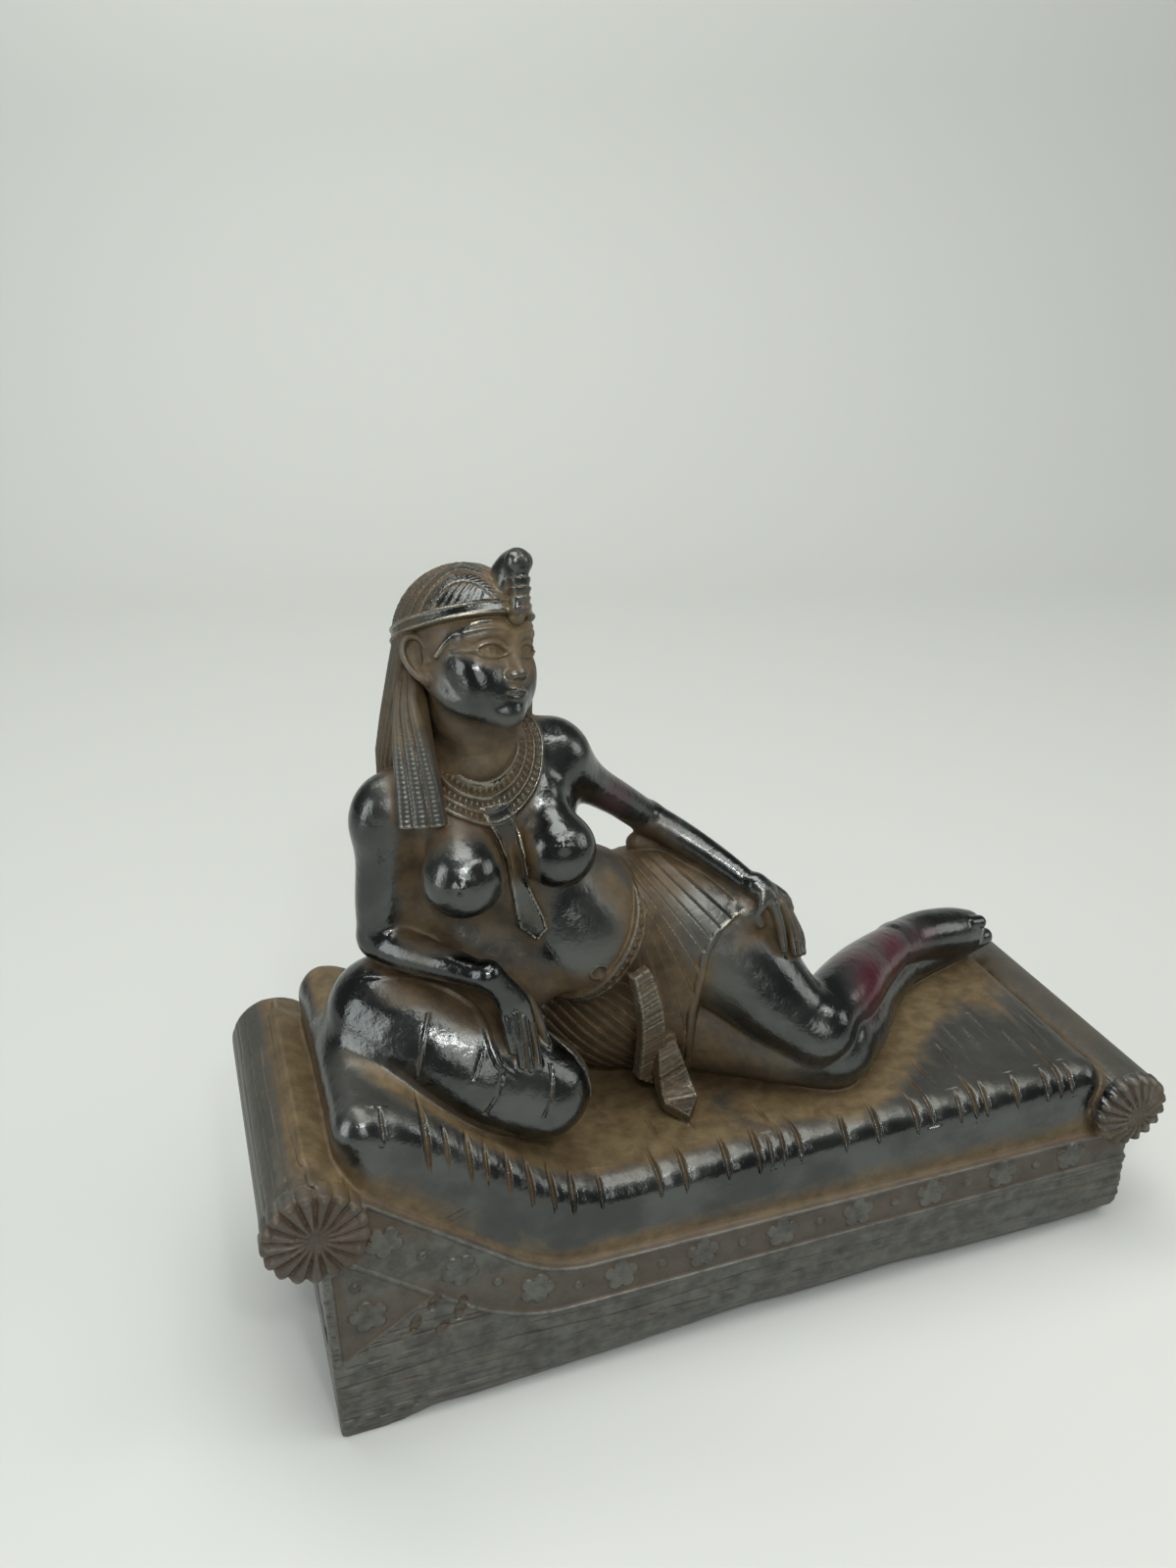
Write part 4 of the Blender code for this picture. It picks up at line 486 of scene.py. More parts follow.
# long shallow strokes on its top, rows of x, first y, last y, half width, depth
STROKES = (
    (140.2, 8.5, 21.5, 0.8, 0.6), (148.0, 11.5, 24.5, 0.8, 0.6), (157.3, 17.5, 27.5, 0.8, 0.5), (153.0, 13.0, 34.0, 0.9, 0.4),
    (165.8, 12.0, 24.0, 0.8, 0.5), (162.0, 20.0, 38.0, 0.9, 0.4), (173.6, 12.0, 30.0, 0.8, 0.5), (176.5, 20.0, 44.0, 0.8, 0.5),
    (98.6, 7.5, 18.5, 0.7, 0.6), (74.4, 14.0, 24.5, 0.8, 0.6), (83.0, 13.0, 18.0, 0.6, 0.4), (108.5, 9.0, 14.0, 0.6, 0.4),
)

HEAD_AT = np.array([43.6, 34.0, 154.8])
HEAD_SIZE = 1.13
HEAD_TURN = 28.0  # degrees to the figure's left
HEAD_BACK = 16.0  # degrees that the chin is lifted
HEAD_LEAN = 15.0  # degrees to the figure's left

CHEST_AT = np.array([47.0, 35.0, 117.5])
CHEST_UP = (-0.33, 0.03, 0.94)
CHEST_LEFT = (1.0, 0.06, 0.38)
WAIST_AT = np.array([57.0, 35.5, 99.0])
PELVIS_AT = np.array([76.5, 42.5, 75.2])
PELVIS_UP = (-0.80, -0.14, 0.58)
PELVIS_LEFT = (0.55, 0.14, 0.82)
BELT_AT = np.array([67.4, 34.5, 91.4])
BELT_UP = unit((-0.73, -0.24, 0.64))
PLEAT_POLE = (65.0, 115.0)  # x, z that the kilt's pleats spread from
PLEAT_STEP = 4.5  # degrees
HEM_WAY = unit((0.81, -0.44, -0.39))
NAVEL = (64.2, 20.4, 86.7)

# rows of x, y, z, radius
RIGHT_UPPER_ARM = [(25.6, 33.6, 125.8, 5.7), (24.2, 34.0, 117, 5.0), (22.6, 34.6, 106, 4.7), (22.0, 34.8, 97.5, 4.4)]
RIGHT_FOREARM = [(22.2, 34.4, 96.0, 4.4), (26.5, 28.5, 95.4, 4.0), (33.0, 20.6, 95.8, 3.4), (39.0, 14.6, 95.2, 2.6)]
LEFT_UPPER_ARM = [(62.0, 35.5, 129.2, 5.5), (69.0, 39.6, 121.0, 4.3), (77.0, 43.8, 113.8, 3.8), (84.2, 47.0, 107.0, 3.7)]
LEFT_FOREARM = [(84.6, 47.0, 106.8, 3.8), (91.5, 41.5, 102.8, 3.4), (98.0, 35.5, 98.4, 2.9), (103.4, 30.0, 94.0, 2.4)]
LEFT_THIGH = [(82.0, 42.0, 84.0, 15.0), (92.0, 37.5, 80.4, 13.9), (101.0, 32.0, 74.2, 12.1), (107.3, 26.0, 66.9, 10.1), (114.0, 20.6, 60.9, 8.0)]
LEFT_SHIN = [(116.0, 21.6, 61.8, 7.8), (121.5, 25.2, 62.4, 8.0), (128.5, 30.5, 62.6, 7.8), (136.0, 37.0, 61.6, 7.0), (144.5, 43.4, 60.4, 6.0), (152.0, 49.0, 58.8, 5.2)]
LEFT_FOOT = [(152.5, 49.2, 58.4, 5.5), (158.5, 52.2, 57.0, 6.1), (164.5, 53.8, 56.2, 6.4), (172.0, 55.4, 54.8, 6.2), (177.4, 56.4, 53.8, 5.2)]
RIGHT_THIGH = [(74.0, 48.0, 59.5, 12.6), (88.0, 42.0, 57.4, 12.0), (100.0, 34.0, 56.0, 10.8), (111.0, 26.0, 55.2, 9.9), (119.0, 22.4, 54.6, 9.6)]
RIGHT_SHIN = [(120.5, 22.8, 54.4, 9.6), (129.0, 29.0, 53.6, 8.8), (139.0, 38.5, 52.6, 7.4), (150.0, 47.0, 51.4, 6.0)]
RIGHT_FOOT = [(152.0, 49.0, 51.2, 5.6), (162.0, 52.5, 50.6, 5.0), (173.0, 55.0, 50.4, 4.2), (184.0, 56.6, 50.0, 2.4)]
BOLSTER = [(21.5, 33.0, 79.5, 12.0), (29.0, 26.0, 76.0, 13.0), (39.0, 20.2, 70.5, 12.6), (49.5, 17.2, 64.5, 10.6)]
# on the bolster: the fold that the arm and hand raise, and creases below it, rows of x, y, z, 0
FOLD = [(12.0, 33.0, 89.0, 0), (18.9, 29.4, 90.6, 0), (27.5, 27.0, 89.5, 0), (33.2, 23.1, 88.7, 0), (37.2, 19.8, 85.5, 0), (38.4, 14.7, 82.8, 0), (39.3, 9.9, 78.1, 0), (43.7, 8.4, 73.6, 0)]
CREASES = (
    [(27.9, 18.6, 86.6, 0), (26.0, 15.4, 83.0, 0), (24.1, 13.6, 75.8, 0)],
    [(36.6, 11.5, 80.0, 0), (34.3, 9.5, 76.1, 0)],
    [(39.9, 8.8, 76.4, 0), (38.4, 7.4, 72.4, 0), (35.9, 8.6, 68.1, 0)],
    [(50.3, 10.9, 74.6, 0), (49.4, 8.2, 70.0, 0), (47.3, 6.7, 65.2, 0)],
)
# rows of x, y, z, half width of the two hanging sash ends; each closes to a point
SASH_A = [(72.2, 19.2, 86.0, 2.2), (73.6, 19.0, 80.6, 2.6), (75.0, 20.2, 74.4, 2.9), (76.0, 22.2, 67.6, 3.1), (77.2, 26.0, 58.5, 3.4), (77.6, 27.6, 54.6, 3.5), (78.2, 28.4, 50.6, 0.2)]
SASH_B = [(79.8, 25.6, 66.0, 1.8), (80.6, 24.8, 60.0, 3.0), (81.6, 25.0, 54.6, 3.7), (82.4, 24.2, 50.6, 4.1), (82.5, 21.0, 48.7, 4.2), (82.5, 16.0, 47.9, 0.2)]


# ---------------------------------------------------------------- couch
def crest(x):
    return smax(CREST_SLOPE_AT_0 + CREST_SLOPE * x, CREST_FLAT - 0.012 * (x - 60), 7.0)


def band_foot(x):
    return smax(BAND_SLOPE_AT_0 + CREST_SLOPE * x, BAND_FLAT, 10.0)


def mattress_top(x):
    z = smax(MATTRESS_SLOPE_AT_0 - 0.87 * x, MATTRESS_TOP - 0.008 * (x - 90), 9.0)
    return smin(z, MATTRESS_HEAD_TOP, 7.0)


def lean(fn, x):
    """Cosine of a profile's slope, which turns its height into a distance."""
    s = (fn(x + 0.5) - fn(x - 0.5)).astype(F)
    return 1 / np.sqrt(1 + s * s)


def hash1(i):
    v = np.sin(np.asarray(i, float) * 127.1 + 11.7) * 43758.5453
    return (v - np.floor(v)).astype(F)


def wave(x, seed, scale):
    """Smooth one-dimensional noise between -1 and 1."""
    x = x / scale
    i = np.floor(x)
    t = x - i
    t = t * t * (3 - 2 * t)
    return ((1 - t) * hash1(i + seed * 57) + t * hash1(i + 1 + seed * 57)) * 2 - 1


def band_points():
    """Centres of the ornaments along the carved band, with the band's angle there."""
    out = []
    x = 12.6
    turn_at, s, n = None, 0.0, 0
    while x < 181:
        z = 0.5 * (crest(np.array(x)) + band_foot(np.array(x)))
        z2 = 0.5 * (crest(np.array(x + 0.1)) + band_foot(np.array(x + 0.1)))
        if s <= 0:
            out.append((x, float(z), math.atan2(float(z2 - z), 0.1), n % 2))
            n += 1
            s += FLOWER_PITCH / 2
        s -= math.hypot(0.1, float(z2 - z))
        x += 0.1
    return out


def flower(dx, dz, a, r, petals, height):
    rho = np.sqrt(dx * dx + dz * dz)
    th = np.arctan2(dz, dx) - a
    edge = r * (0.60 + 0.40 * np.abs(np.cos(0.5 * petals * th)) ** 0.6)
    return height * step(0.3, -0.3, rho - edge) * (1 - 0.35 * bump(rho - 0.22 * r, 0.22 * r))


def stud(dx, dz, r, height):
    q = 1 - (dx * dx + dz * dz) / (r * r)
    return height * np.sqrt(np.clip(q, 0, 1))


def front_relief(x, z, fine):
    """How far the couch's front face stands proud of its plane."""
    h = np.zeros_like(x)
    c, b = crest(x), band_foot(x)
    cl, bl = lean(crest, x), lean(band_foot, x)
    top, foot = (c - z) * cl, (z - b) * bl
    band = step(-0.4, 0.3, foot)
    # the band is sunk between two raised edges
    h += band * (-0.55 + 0.75 * bump(top - 0.5, 1.0)) + 0.45 * bump(foot, 0.7)
    for ox, oz, a, kind in band_points():
        dx, dz = x - ox, z - oz
        m = np.abs(dx) + np.abs(dz) < 7
        if not m.any():
            continue
        if kind == 0:
            h[m] += flower(dx[m], dz[m], a + math.pi / 2, 3.9, 5, 0.6)
        else:
            h[m] += stud(dx[m], dz[m], 1.15, 0.75)
    # the sunk corner panel under the sweep, with its stud and its leaf
    px0, pz0 = 2.0, 21.0
    slope = (b - 1.2 - z) * bl
    corner = np.minimum(np.minimum(x - px0, slope), (z - pz0 - (x - px0) * 0.62) * 0.85)
    h -= 0.7 * step(-0.2, 0.5, corner)
    h += stud(x - 6.2, z - 39.5, 1.1, 0.7)
    h += flower(x - 8.2, z - 31.6, 0.5, 4.0, 5, 0.65)
    # beside it, oval hollows between diagonal stalks
    for ox, oz, rx, rz, a in ((21.5, 31.2, 1.3, 2.6, -0.5), (26.6, 27.6, 1.3, 3.0, -0.35), (17.2, 26.4, 1.2, 2.6, -0.3), (22.6, 23.6, 1.2, 2.2, -0.7)):
        ca, sa = math.cos(a), math.sin(a)
        u, v = (x - ox) * ca + (z - oz) * sa, -(x - ox) * sa + (z - oz) * ca
        q = np.sqrt((u / rx) ** 2 + (v / rz) ** 2)
        h -= 0.7 * step(1.15, 0.6, q)
    if fine:
        # long strokes of grain on the plain part below the band
        plain = step(0.3, 1.2, -foot) * step(0.0, -0.8, corner)
        zz = z + 0.9 * wave(x, 3, 31) + 0.05 * x * 0
        g = np.abs(wave(zz + 0.25 * wave(x, 9, 9), 5, 1.25)) * (0.6 + 0.4 * wave(x + zz * 9, 6, 17))
        h -= plain * (0.34 * step(0.32, 0.0, g) + 0.12 * (1 + wave(zz, 8, 0.7)))
    return h.astype(F)


def end_relief(y, z, fine, seed):
    """The end faces: a sunk panel with upright flutes."""
    y0, y1, z0, z1 = 6.0, 59.0, 15.0, 43.0
    inside = np.minimum(np.minimum(y - y0, y1 - y), np.minimum(z - z0, z1 - z))
    h = -0.8 * step(-0.2, 0.6, inside)
    h = h + step(0.5, 1.5, inside) * 0.6 * (0.5 + 0.5 * np.cos((y - 6) * 2 * math.pi / 6.625 + math.pi))
    if fine:
        g = np.abs(wave(z + 0.6 * wave(y, seed, 25), seed + 4, 1.3))
        h = h - step(0.2, -0.6, inside) * 0.3 * step(0.3, 0.0, g)
    return h.astype(F)


def lower_edge(x):
    """Height to which the rounded lower front edge is drawn up."""
    z = 3.2 * step(8, 22, x) + 3.4 * step(36, 100, x) - 1.4 * step(125, 186, x)
    return z + 0.5 * wave(x, 21, 13) * step(15, 30, x)


def scroll(P, at, side, fine):
    cx, cz, r = at
    dx, dz = P[:, 0] - F(cx), P[:, 2] - F(cz)
    rho = np.sqrt(dx * dx + dz * dz)
    th = np.arctan2(dz, dx)
    grain = 0
    if fine:
        k = th * r
        grain = 0.12 * step(0.35, 0.0, np.abs(wave(k + 0.5 * wave(P[:, 1], 31, 19), 33, 1.5))) + 0.12 * wave(k, 35, 3.1)
    y0, y1 = -SCROLL_OVERHANG, COUCH_DEPTH + SCROLL_OVERHANG
    body = np.maximum(rho - (r - 0.5) + grain, y0 + 3.4 - P[:, 1])
    body = smax(body, P[:, 1] - y1 - 0.3, 3.0)
    # the fluted rosette on each end
    ph = th * (PETALS / 2.0)
    petal = np.sqrt(np.sin(ph) ** 2 + 0.02)
    edge = r * (0.91 + 0.09 * np.sqrt(petal))
    lift = 1.5 * (petal ** 0.7 - 0.6) * step(0.8, 5.0, rho) - 0.7 * (rho / r) ** 3 + 0.35 * bump(rho - r * 0.88, 0.9) * petal
    lift = lift - 0.5 * step(2.6, 0.6, rho) - (1.5 * step(0.3 * r, r, rho) if side > 0 else 0)
    slab = smax(rho - edge, (y0 - lift - P[:, 1]) * 0.8, 1.2 if side > 0 else 0.4)
    slab = np.maximum(slab, P[:, 1] - y0 - 4.6)
    return np.minimum(body, slab)


def frame(P, fine):
    x, y, z = P[:, 0], P[:, 1], P[:, 2]
    top = (z - crest(x)) * lean(crest, x)
    n = len(x)
    fr = np.zeros(n, F)
    m = (y < 4) & (z < 72)
    if m.any():
        fr[m] = front_relief(x[m], z[m], fine)
    bk = np.zeros(n, F)
    m = (y > COUCH_DEPTH - 4) & (z < 72)
    if m.any() and fine:
        g = np.abs(wave(z[m] + 0.9 * wave(x[m], 41, 33), 43, 1.3))
        bk[m] = -0.28 * step(0.3, 0.0, g)
    m = x < 3
    e = np.zeros(n, F)
    if m.any():
        e[m] = end_relief(y[m], z[m], fine, 51)
    m = x > COUCH_LENGTH - 3
    if m.any():
        e2 = 0 * z[m]
        if fine:
            g = np.abs(wave(z[m] + 0.6 * wave(y[m], 61, 25), 65, 1.3))
            e2 = -0.3 * step(0.3, 0.0, g)
        e[m] = e2
    # sharp upright corners, slightly eased
    dx = np.maximum(-x - e, x - COUCH_LENGTH - e)
    dy = np.maximum(-y - fr, y - COUCH_DEPTH - bk)
    d = smax(dx, dy, 1.2)
    d = smax(d, top, 1.0)
    d = np.maximum(d, -z)
    under = (lower_edge(x) - (z + np.maximum(y, 0))) * 0.7071
    d = smax(d, under, 2.0)
    back = (2.0 - (z + np.maximum(COUCH_DEPTH - y, 0))) * 0.7071
    return smax(d, back, 1.0)


def mattress(P, fine):
    x, y, z = P[:, 0], P[:, 1], P[:, 2]
    f0, f1 = MATTRESS_FACES
    e0, e1 = MATTRESS_ENDS
    r = MATTRESS_ROUND
    up = (z - mattress_top(x)) * lean(mattress_top, x)
    down = (crest(x) - 7.5 - z) * lean(crest, x)
    dz = np.maximum(up, down)
    dy = np.maximum(f0 - y, y - f1)
    dx = np.maximum(e0 - x, x - e1)
    a, b, c = np.maximum(dx + r, 0), np.maximum(dy + r, 0), np.maximum(dz + r, 0)
    d = np.sqrt(a * a + b * b + c * c) + np.minimum(np.maximum(np.maximum(dx, dy), dz) + r, 0) - r
    # gathers, pointed on the top, widest on the shoulder and tapering away down the side
    front = y < 0.5 * (f0 + f1)
    inward = np.where(front, y - f0, f1 - y)
    place = np.where(front, x, 190 - x) + 0.5 * wave(y + x, 75, 9) - 0.04 * inward
    along = inward + np.minimum(up, 0)
    near = (inward < 21) & (up > -14) & (d > -3)
    if near.any():
        px, pa = place[near], along[near]
        pull = np.zeros_like(px)
        gap = np.full_like(px, 9.0)
        for at, reach, drop, wide, deep in GATHERS:
            u = px - at
            t = step(reach, reach * 0.1, pa) * step(-drop - 2.0, -drop * 0.35, pa)
            m = (np.abs(u) < 3.2 * wide) & (t > 0.01)
            pull[m] = np.maximum(pull[m], deep * t[m] * bump(u[m], wide * (0.45 + 0.55 * t[m])))
            gap = np.minimum(gap, np.where(t > 0.01, np.abs(u), 9.0))
        puff = 0.22 * step(0.5, 3.0, gap) * step(9, 3, pa) * step(-9, -3, pa)
        d[near] += pull - puff
    near = (up > -3) & (up < 3) & (y < 60) & (x > 66)
    if near.any():
        px, py = place[near], y[near]
        pull = np.zeros_like(px)
        for at, y0, y1, wide, deep in STROKES:
            k = (py - 0.5 * (y0 + y1)) / (0.5 * (y1 - y0))
            pull += deep * bump(px - at, wide) * np.clip(1 - k * k, 0, 1)
        d[near] += pull
    # a shallow hollow where the figure lies
    hollow = ((x - 92) / 62) ** 2 + ((y - 36) / 25) ** 2
    d = d + 1.2 * step(1.0, 0.2, hollow) * step(-6, 0, up)
    return d.astype(F)


def bolster(P, fine):
    d = limb(P, BOLSTER, 3)
    A, B = np.array(BOLSTER[0][:3]), np.array(BOLSTER[-1][:3])
    ax = unit(B - A)
    q = P - np.asarray(A, F)
    t = q @ np.asarray(ax, F)
    side = unit(np.cross(ax, (0, 0, 1)))
    upv = np.cross(side, ax)
    th = np.arctan2(q @ np.asarray(upv, F), q @ np.asarray(side, F))
    fold = limb(P, FOLD, 2)
    d = d - 0.8 * bump(fold, 1.1) * step(13, 25, P[:, 0]) * step(73, 80, P[:, 2])
    d = d - 0.45 * bump((th - 1.9) * 11 + 0.22 * (t - 30), 0.8) * step(24, 28, t)
    for row in CREASES:
        d = d + 0.55 * bump(limb(P, row, 2), 0.65)
    return d.astype(F)


# ---------------------------------------------------------------- figure
CHEST = basis(CHEST_LEFT, CHEST_UP)
PELVIS = basis(PELVIS_LEFT, PELVIS_UP)
WAIST = basis((0.86, 0.08, 0.5), (-0.5, 0.02, 0.86))
HEAD = turn((0, 0, 1), HEAD_TURN) @ turn((0, 1, 0), HEAD_LEAN) @ turn((1, 0, 0), -HEAD_BACK)
HEAD = np.stack([HEAD @ (1, 0, 0), HEAD @ (0, -1, 0), HEAD @ (0, 0, 1)], 1)
NECK_FOOT = np.array([44.5, 33.5, 133.0])
COLLAR_AXIS = basis((1, 0.1, 0.1), (0.12, -0.60, 0.79))
COLLAR_AT = np.array([43.2, 31.0, 136.2])
COLLAR_WIDE = 0.86  # its breadth against its depth
CORDS = (8.4, 10.5, 12.6, 14.6)  # radii of the raised cords


def chest_pt(l, f, u):
    return CHEST_AT + CHEST @ np.array([l, f, u], float)


def head_pt(l, f, u):
    return HEAD_AT + HEAD @ (np.array([l, f, u], float) * HEAD_SIZE)


def pelvis_pt(l, f, u):
    return PELVIS_AT + PELVIS @ np.array([l, f, u], float)


def torso(L):
    L.ell(chest_pt(0, 0, 0), (16.6, 11.8, 20.0), CHEST, 0)
    L.ell(chest_pt(0, -1, 6), (18.0, 10.4, 11.0), CHEST, 6)
    L.limb([(*chest_pt(-20.0, 0, 12.0), 5.2), (*chest_pt(-10, 0, 13.8), 5.4), (*chest_pt(0, 0, 15), 5.6), (*chest_pt(9, 0, 13.6), 5.2), (*chest_pt(17.0, 0, 10.0), 5.0)], 7)
    L.ell(WAIST_AT, (13.4, 10.6, 14.0), WAIST, 8)
    L.ell(WAIST_AT + np.array([6.5, -4.5, -8.0]), (13.0, 10.6, 13.0), WAIST, 6)
    L.ell((69.0, 38.5, 97.0), (8.5, 9.0, 8.5), None, 6)
    L.ell(PELVIS_AT, (22.5, 15.0, 15.6), PELVIS, 8)
    L.ell(pelvis_pt(9, -7, -4), (13.5, 13, 14.5), PELVIS, 7)
    L.ell(pelvis_pt(-9, -7, -4), (13.5, 12, 14.5), PELVIS, 7)
    # the casting's web between the right arm and the side
    L.limb([(27.0, 37.5, 117.0, 5.0), (30.0, 37.0, 106.0, 6.0), (38.0, 34.0, 95.0, 8.0), (50.0, 32.0, 84.0, 9.0)], 4.0)


def breasts(L):
    for c, r, top, tip in (((37.0, 20.2, 114.2), 7.1, (37.0, 25.6, 123.6), (-0.25, -0.93, 0.28)), ((56.4, 21.4, 115.9), 6.6, (55.0, 27.0, 125.0), (-0.1, -0.80, 0.58))):
        c = np.array(c)
        L.ell(c, (r, r * 0.95, r), CHEST, 2.6)
        L.limb([(*(c + (0, 0.5, 1.0)), r * 0.88), (*((c * 0.6 + np.array(top) * 0.4)), r * 0.74), (*top, r * 0.5)], 5.0)
        n = unit(tip)
        L.ell(c + n * (r * 0.97), (1.5, 1.5, 1.5), None, 0.8)
        L.ell(c + n * (r + 0.75), (0.75, 0.75, 0.75), None, 0.4)


# rows of x, y, z, radius: wrist, palm, thumb, then index to little finger
RIGHT_HAND = (
    [(39.4, 14.9, 95.6, 2.6), (41.9, 14.4, 90.6, 2.2), (42.4, 13.4, 87.4, 1.5)],
    [(39.4, 14.9, 95.6, 2.6), (45.0, 14.4, 88.6, 2.1), (46.8, 13.8, 84.2, 1.3)],
    [(43.0, 16.0, 91.0, 1.8), (47.6, 16.5, 86.4, 1.3), (49.8, 16.4, 80.6, 1.05), (51.2, 14.8, 76.6, 0.75)],
    [(42.1, 13.3, 87.8, 1.15), (42.1, 11.6, 83.9, 1.0), (42.5, 10.8, 79.7, 0.9)],
    [(43.8, 12.8, 86.9, 1.15), (43.9, 10.9, 82.0, 1.0), (44.1, 9.5, 76.7, 0.85)],
    [(45.5, 13.0, 85.4, 1.1), (45.8, 11.2, 80.5, 0.95), (45.8, 9.0, 75.8, 0.8)],
    [(47.2, 13.8, 83.3, 1.05), (47.8, 12.2, 78.9, 0.85), (47.7, 10.4, 75.5, 0.7)],
)
LEFT_HAND = (
    [(103.1, 29.6, 95.4, 2.4), (105.0, 27.2, 93.6, 2.0), (105.8, 26.0, 91.6, 1.4)],
    [(103.1, 29.6, 95.4, 2.4), (108.8, 29.0, 91.4, 1.9), (111.4, 29.6, 87.8, 1.2)],
    [(103.8, 27.6, 94.6, 1.6), (102.9, 25.8, 92.6, 1.2), (102.0, 26.2, 90.0, 1.05), (102.6, 25.7, 87.6, 0.8)],
    [(105.6, 25.6, 92.2, 1.15), (107.0, 24.6, 86.6, 1.0), (107.1, 22.7, 82.2, 0.85)],
    [(108.0, 27.0, 91.2, 1.1), (109.9, 25.7, 85.5, 0.95), (110.0, 23.0, 80.4, 0.8)],
    [(110.2, 28.6, 88.8, 1.05), (112.0, 27.0, 83.6, 0.9), (111.8, 24.1, 79.2, 0.75)],
    [(112.0, 30.2, 86.0, 1.0), (113.9, 28.6, 81.3, 0.85), (113.7, 26.0, 78.0, 0.7)],
)


def hand(L, rows):
    for k, row in enumerate(rows):
        L.limb(row, 1.2 if k < 2 else 0.8 if k == 2 else 0.22, 3)


def arms(L):
    L.limb(RIGHT_UPPER_ARM, 5.0)
    L.limb(RIGHT_FOREARM, 2.0)
    L.limb(LEFT_UPPER_ARM, 5.0)
    L.limb(LEFT_FOREARM, 1.2)
    # and between the left forearm and the hip
    L.limb([(82.0, 47.0, 101.0, 2.4), (88.0, 46.0, 99.5, 3.0), (92.5, 42.0, 97.2, 3.4), (98.0, 36.4, 93.4, 3.4), (103.0, 31.6, 89.6, 3.2)], 1.5)
    hand(L, RIGHT_HAND)
    hand(L, LEFT_HAND)
    L.limb([(101.0, 31.0, 88.0, 5.0), (104.8, 29.4, 87.6, 3.6), (108.8, 29.4, 84.6, 3.4), (112.0, 29.6, 79.6, 2.8)], 1.5)


def legs(L):
    L.limb(RIGHT_THIGH, 4.0)
    L.limb(RIGHT_SHIN, 3.0)
    L.limb(RIGHT_FOOT, 2.0)
    L.limb([(153.0, 50.0, 52.0, 5.0), (150.0, 54.5, 51.0, 4.4)], 2.0, 1)


def upper_leg(L):
    L.limb(LEFT_THIGH, 0.0)
    L.limb(LEFT_SHIN, 1.6)
    L.ell((116.2, 19.2, 61.8), (6.4, 6.6, 7.0), None, 3.0)
    L.limb(LEFT_FOOT, 2.0)
    L.limb([(153.0, 50.5, 57.5, 4.2), (151.0, 55.0, 54.5, 3.6)], 2.0, 1)
    L.ell((150.8, 48.6, 63.0), (1.6, 1.6, 1.6), None, 1.5)
    # toes
    side = unit((0.15, 0.62, -0.77))
    fwd = unit((0.95, 0.10, -0.16))
    base = np.array([179.0, 53.6, 57.0])
    for i, r in enumerate((1.9, 1.5, 1.4, 1.35, 1.2)):
        a = base + side * (i * 2.0 + (0.4 if i else 0)) - fwd * (0.25 * i * i)
        L.limb([(*(a - fwd * 2.4), r * 1.05), (*(a + fwd * 0.9), r)], 0.4, 1)


def neck(L):
    L.limb([(*NECK_FOOT, 8.2), (*(NECK_FOOT + (0, -0.4, 3.5)), 7.0), (*head_pt(0, -2.0, -9), 6.4), (*head_pt(0, -1.5, -3), 6.6)], 4.0)


FIGURE_LOW, FIGURE_HIGH = (12, 4, 44), (192, 68, 180)


def body(pts):
    L = Layer(pts)
    torso(L)
    breasts(L)
    neck(L)
    legs(L)
    U = Layer(pts)
    upper_leg(U)
    L.d = smin(L.d, U.d, 0.9)
    arms(L)
    return L


def head_local(pts):
    return Points(local(pts.P, HEAD_AT, HEAD) / F(HEAD_SIZE))


